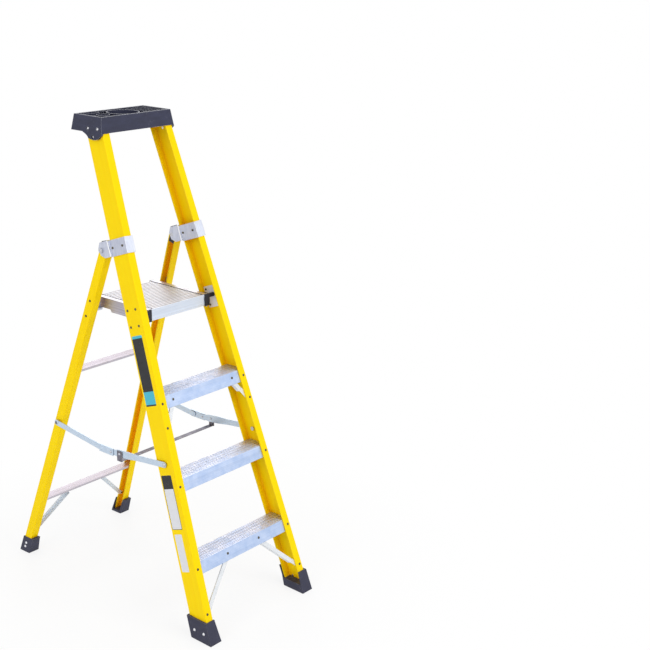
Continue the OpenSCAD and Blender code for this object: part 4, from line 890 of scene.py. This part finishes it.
def vinyl(name, bands, rough=0.36):
    """Vinyl with colour bands: each band is (the height where it starts, its colour), lowest first."""
    material, tree = new_material(name)
    spot = coordinates(tree, on_the_piece(tree))
    colour = bands[0][1]
    for start, band_colour in bands[1:]:
        above = spread(tree, spot["Z"], start - BAND_SOFTNESS, start + BAND_SOFTNESS)
        colour = blend_colours(tree, above, colour, band_colour)
    edge_marks = place_group(tree, edge_marking, edge_radius=0.0009, patch_scale=140.0, evenness=0.1)
    scratched = place_group(tree, scuffs, scale=9.0, amount=0.5)
    skin = place_group(tree, moulded_grain, grain_scale=700.0)
    layers = (
        (skin["Cloud"], 0.02, VINYL_FADED),
        (edge_marks["Mask"], 0.5, VINYL_RUBBED),
        (scratched["Mask"], 0.5, VINYL_SCUFFED),
    )
    for mask, share, tone in layers:
        colour = blend_colours(tree, maths(tree, "MULTIPLY", mask, share), colour, tone)
    surface = add(tree, "ShaderNodeBsdfPrincipled")
    value_into(tree, surface.inputs["Base Color"], colour)
    value_into(tree, surface.inputs["Roughness"], maths(tree, "MULTIPLY_ADD", skin["Cloud"], 0.12, rough))
    surface.inputs["Specular IOR Level"].default_value = 0.35
    value_into(tree, surface.inputs["Normal"], bumped(tree, skin["Height"], 0.12, 0.0001))
    show(tree, surface)
    return material


print("the vinyl finish is ready")

# %% [markdown]
# The long sticker is charcoal with a teal band at its top and one near its foot. The middle one is a charcoal
# header with a white panel laid over its lower part, and the lowest is plain white.

# %% Lay the stickers on the web
CHARCOAL = (0.010, 0.010, 0.013)
TEAL = (0.055, 0.47, 0.62)
PAPER = (0.73, 0.74, 0.78)

long_vinyl = vinyl("long_vinyl", [(0.0, CHARCOAL), (0.803, TEAL), (0.846, CHARCOAL), (1.022, TEAL)])
header_vinyl = vinyl("header_vinyl", [(0.0, CHARCOAL)])
paper_vinyl = vinyl("paper_vinyl", [(0.0, PAPER)], rough=0.48)

# name, low and high corner as (depth, along), corner radius, layer, finish
STICKERS = [
    ("sticker_long", (0.0185, 0.798), (0.069, 1.031), 0.003, 0, long_vinyl),
    ("sticker_middle", (0.0215, 0.387), (0.070, 0.568), 0.003, 0, header_vinyl),
    ("sticker_middle_panel", (0.0232, 0.3887), (0.0683, 0.5225), 0.002, 1, paper_vinyl),
    ("sticker_low", (0.031, 0.245), (0.066, 0.371), 0.003, 0, paper_vinyl),
]
for name, low, high, corner, layer, finish in STICKERS:
    plate = rounded_plate(name, low, high, corner, VINYL_GAP + layer * VINYL_THICK, VINYL_THICK)
    plate.data.materials.append(finish)
    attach(plate, "front_frame")
    wide, tall = 1000 * (high[0] - low[0]), 1000 * (high[1] - low[1])
    print(name, "is", round(wide, 1), "by", round(tall, 1), "mm")

# %% [markdown]
# ## The room
# A very large pale floor and a white world make a product picture. The floor is a real, lit surface, so it
# keeps the soft shadow under the feet. Seen straight by the camera it gets some glow of its own, more of it
# further away, so that it runs out to white. Metal sees the same white through the glossy rays.

# %% Floor
WHITE = (1.0, 1.0, 1.0, 1.0)
FLOOR_COLOUR = (0.92, 0.92, 0.925, 1.0)
FLOOR_GLOW_NEAR = 0.80
FLOOR_GLOW_START = 0.45
FLOOR_GLOW_FULL = 1.2
FLOOR_REACH = 120.0
FLOOR_DROP = 0.0005


def seen_directly(tree):
    """1 for camera, glossy and transmission rays, which should meet the white background."""
    path = add(tree, "ShaderNodeLightPath")
    straight = maths(tree, "MAXIMUM", path.outputs["Is Camera Ray"], path.outputs["Is Glossy Ray"])
    return maths(tree, "MAXIMUM", straight, path.outputs["Is Transmission Ray"])


def mixed(tree, share, first, second):
    """One shader, mixed towards another by the share."""
    mix = add(tree, "ShaderNodeMixShader")
    for socket, given in zip(mix.inputs, (share, first.outputs[0], second.outputs[0])):
        value_into(tree, socket, given)
    return mix


corners = [(-FLOOR_REACH, -FLOOR_REACH, 0), (FLOOR_REACH, -FLOOR_REACH, 0),
           (FLOOR_REACH, FLOOR_REACH, 0), (-FLOOR_REACH, FLOOR_REACH, 0)]
floor_mesh = bpy.data.meshes.new("floor")
floor_mesh.from_pydata(corners, [], [(0, 1, 2, 3)])
floor = bpy.data.objects.new("floor", floor_mesh)
bpy.context.scene.collection.objects.link(floor)
floor.location.z = -FLOOR_DROP

material, tree = new_material("studio_floor")
lit = add(tree, "ShaderNodeBsdfDiffuse")
lit.inputs["Color"].default_value = FLOOR_COLOUR
glow = add(tree, "ShaderNodeEmission")
glow.inputs["Color"].default_value = WHITE
away = add(tree, "ShaderNodeVectorMath", operation="LENGTH")
value_into(tree, away.inputs[0], on_the_piece(tree))
glow_share = spread(tree, away.outputs["Value"], FLOOR_GLOW_START, FLOOR_GLOW_FULL, FLOOR_GLOW_NEAR, 1.0)
show(tree, mixed(tree, maths(tree, "MULTIPLY", seen_directly(tree), glow_share), lit, glow))
floor.data.materials.append(material)
print("the floor reaches", FLOOR_REACH, "m each way")

# %% [markdown]
# The world has two strengths. Rays that light the ladder meet the lower one, and rays that see the background
# straight or in a reflection meet full white.

# %% World
WORLD_LEVEL = 0.72

world = bpy.data.worlds.new("studio")
bpy.context.scene.world = world
world.use_nodes = True
tree = world.node_tree
tree.nodes.clear()
skies = []
for strength in (WORLD_LEVEL, 1.0):
    sky = add(tree, "ShaderNodeBackground")
    sky.inputs["Color"].default_value = WHITE
    sky.inputs["Strength"].default_value = strength
    skies.append(sky)
show(tree, mixed(tree, seen_directly(tree), *skies), "ShaderNodeOutputWorld")
print("the world lights the ladder at", WORLD_LEVEL)

# %% [markdown]
# ## The lamps
# Three large softboxes keep every edge readable. The strongest stands in front and high, so the faces that
# look at the climber are the brightest. A weaker one lights the outer side of the near stiles, and one
# behind lifts the rear frame off the background.

# %% Softboxes
def softbox(name, place, aim, width, height, watts):
    """A rectangular studio lamp that looks at a point."""
    lamp = bpy.data.lights.new(name, "AREA")
    lamp.shape = "RECTANGLE"
    lamp.size = width
    lamp.size_y = height
    lamp.energy = watts
    box = bpy.data.objects.new(name, lamp)
    bpy.context.scene.collection.objects.link(box)
    box.location = place
    box.rotation_mode = "QUATERNION"
    box.rotation_quaternion = (Vector(aim) - Vector(place)).to_track_quat("-Z", "Y")
    return box


softbox("key_front", (0.4, -4.2, 3.4), (0.0, 0.0, 0.8), 2.6, 2.2, 76)
softbox("fill_left", (-4.2, -0.6, 2.4), (0.0, 0.0, 0.8), 2.4, 2.4, 38)
softbox("back_right", (2.6, 3.2, 3.4), (0.0, 0.0, 0.9), 2.0, 2.0, 34)
bpy.context.scene.view_settings.view_transform = "Standard"
print("three lamps are set")
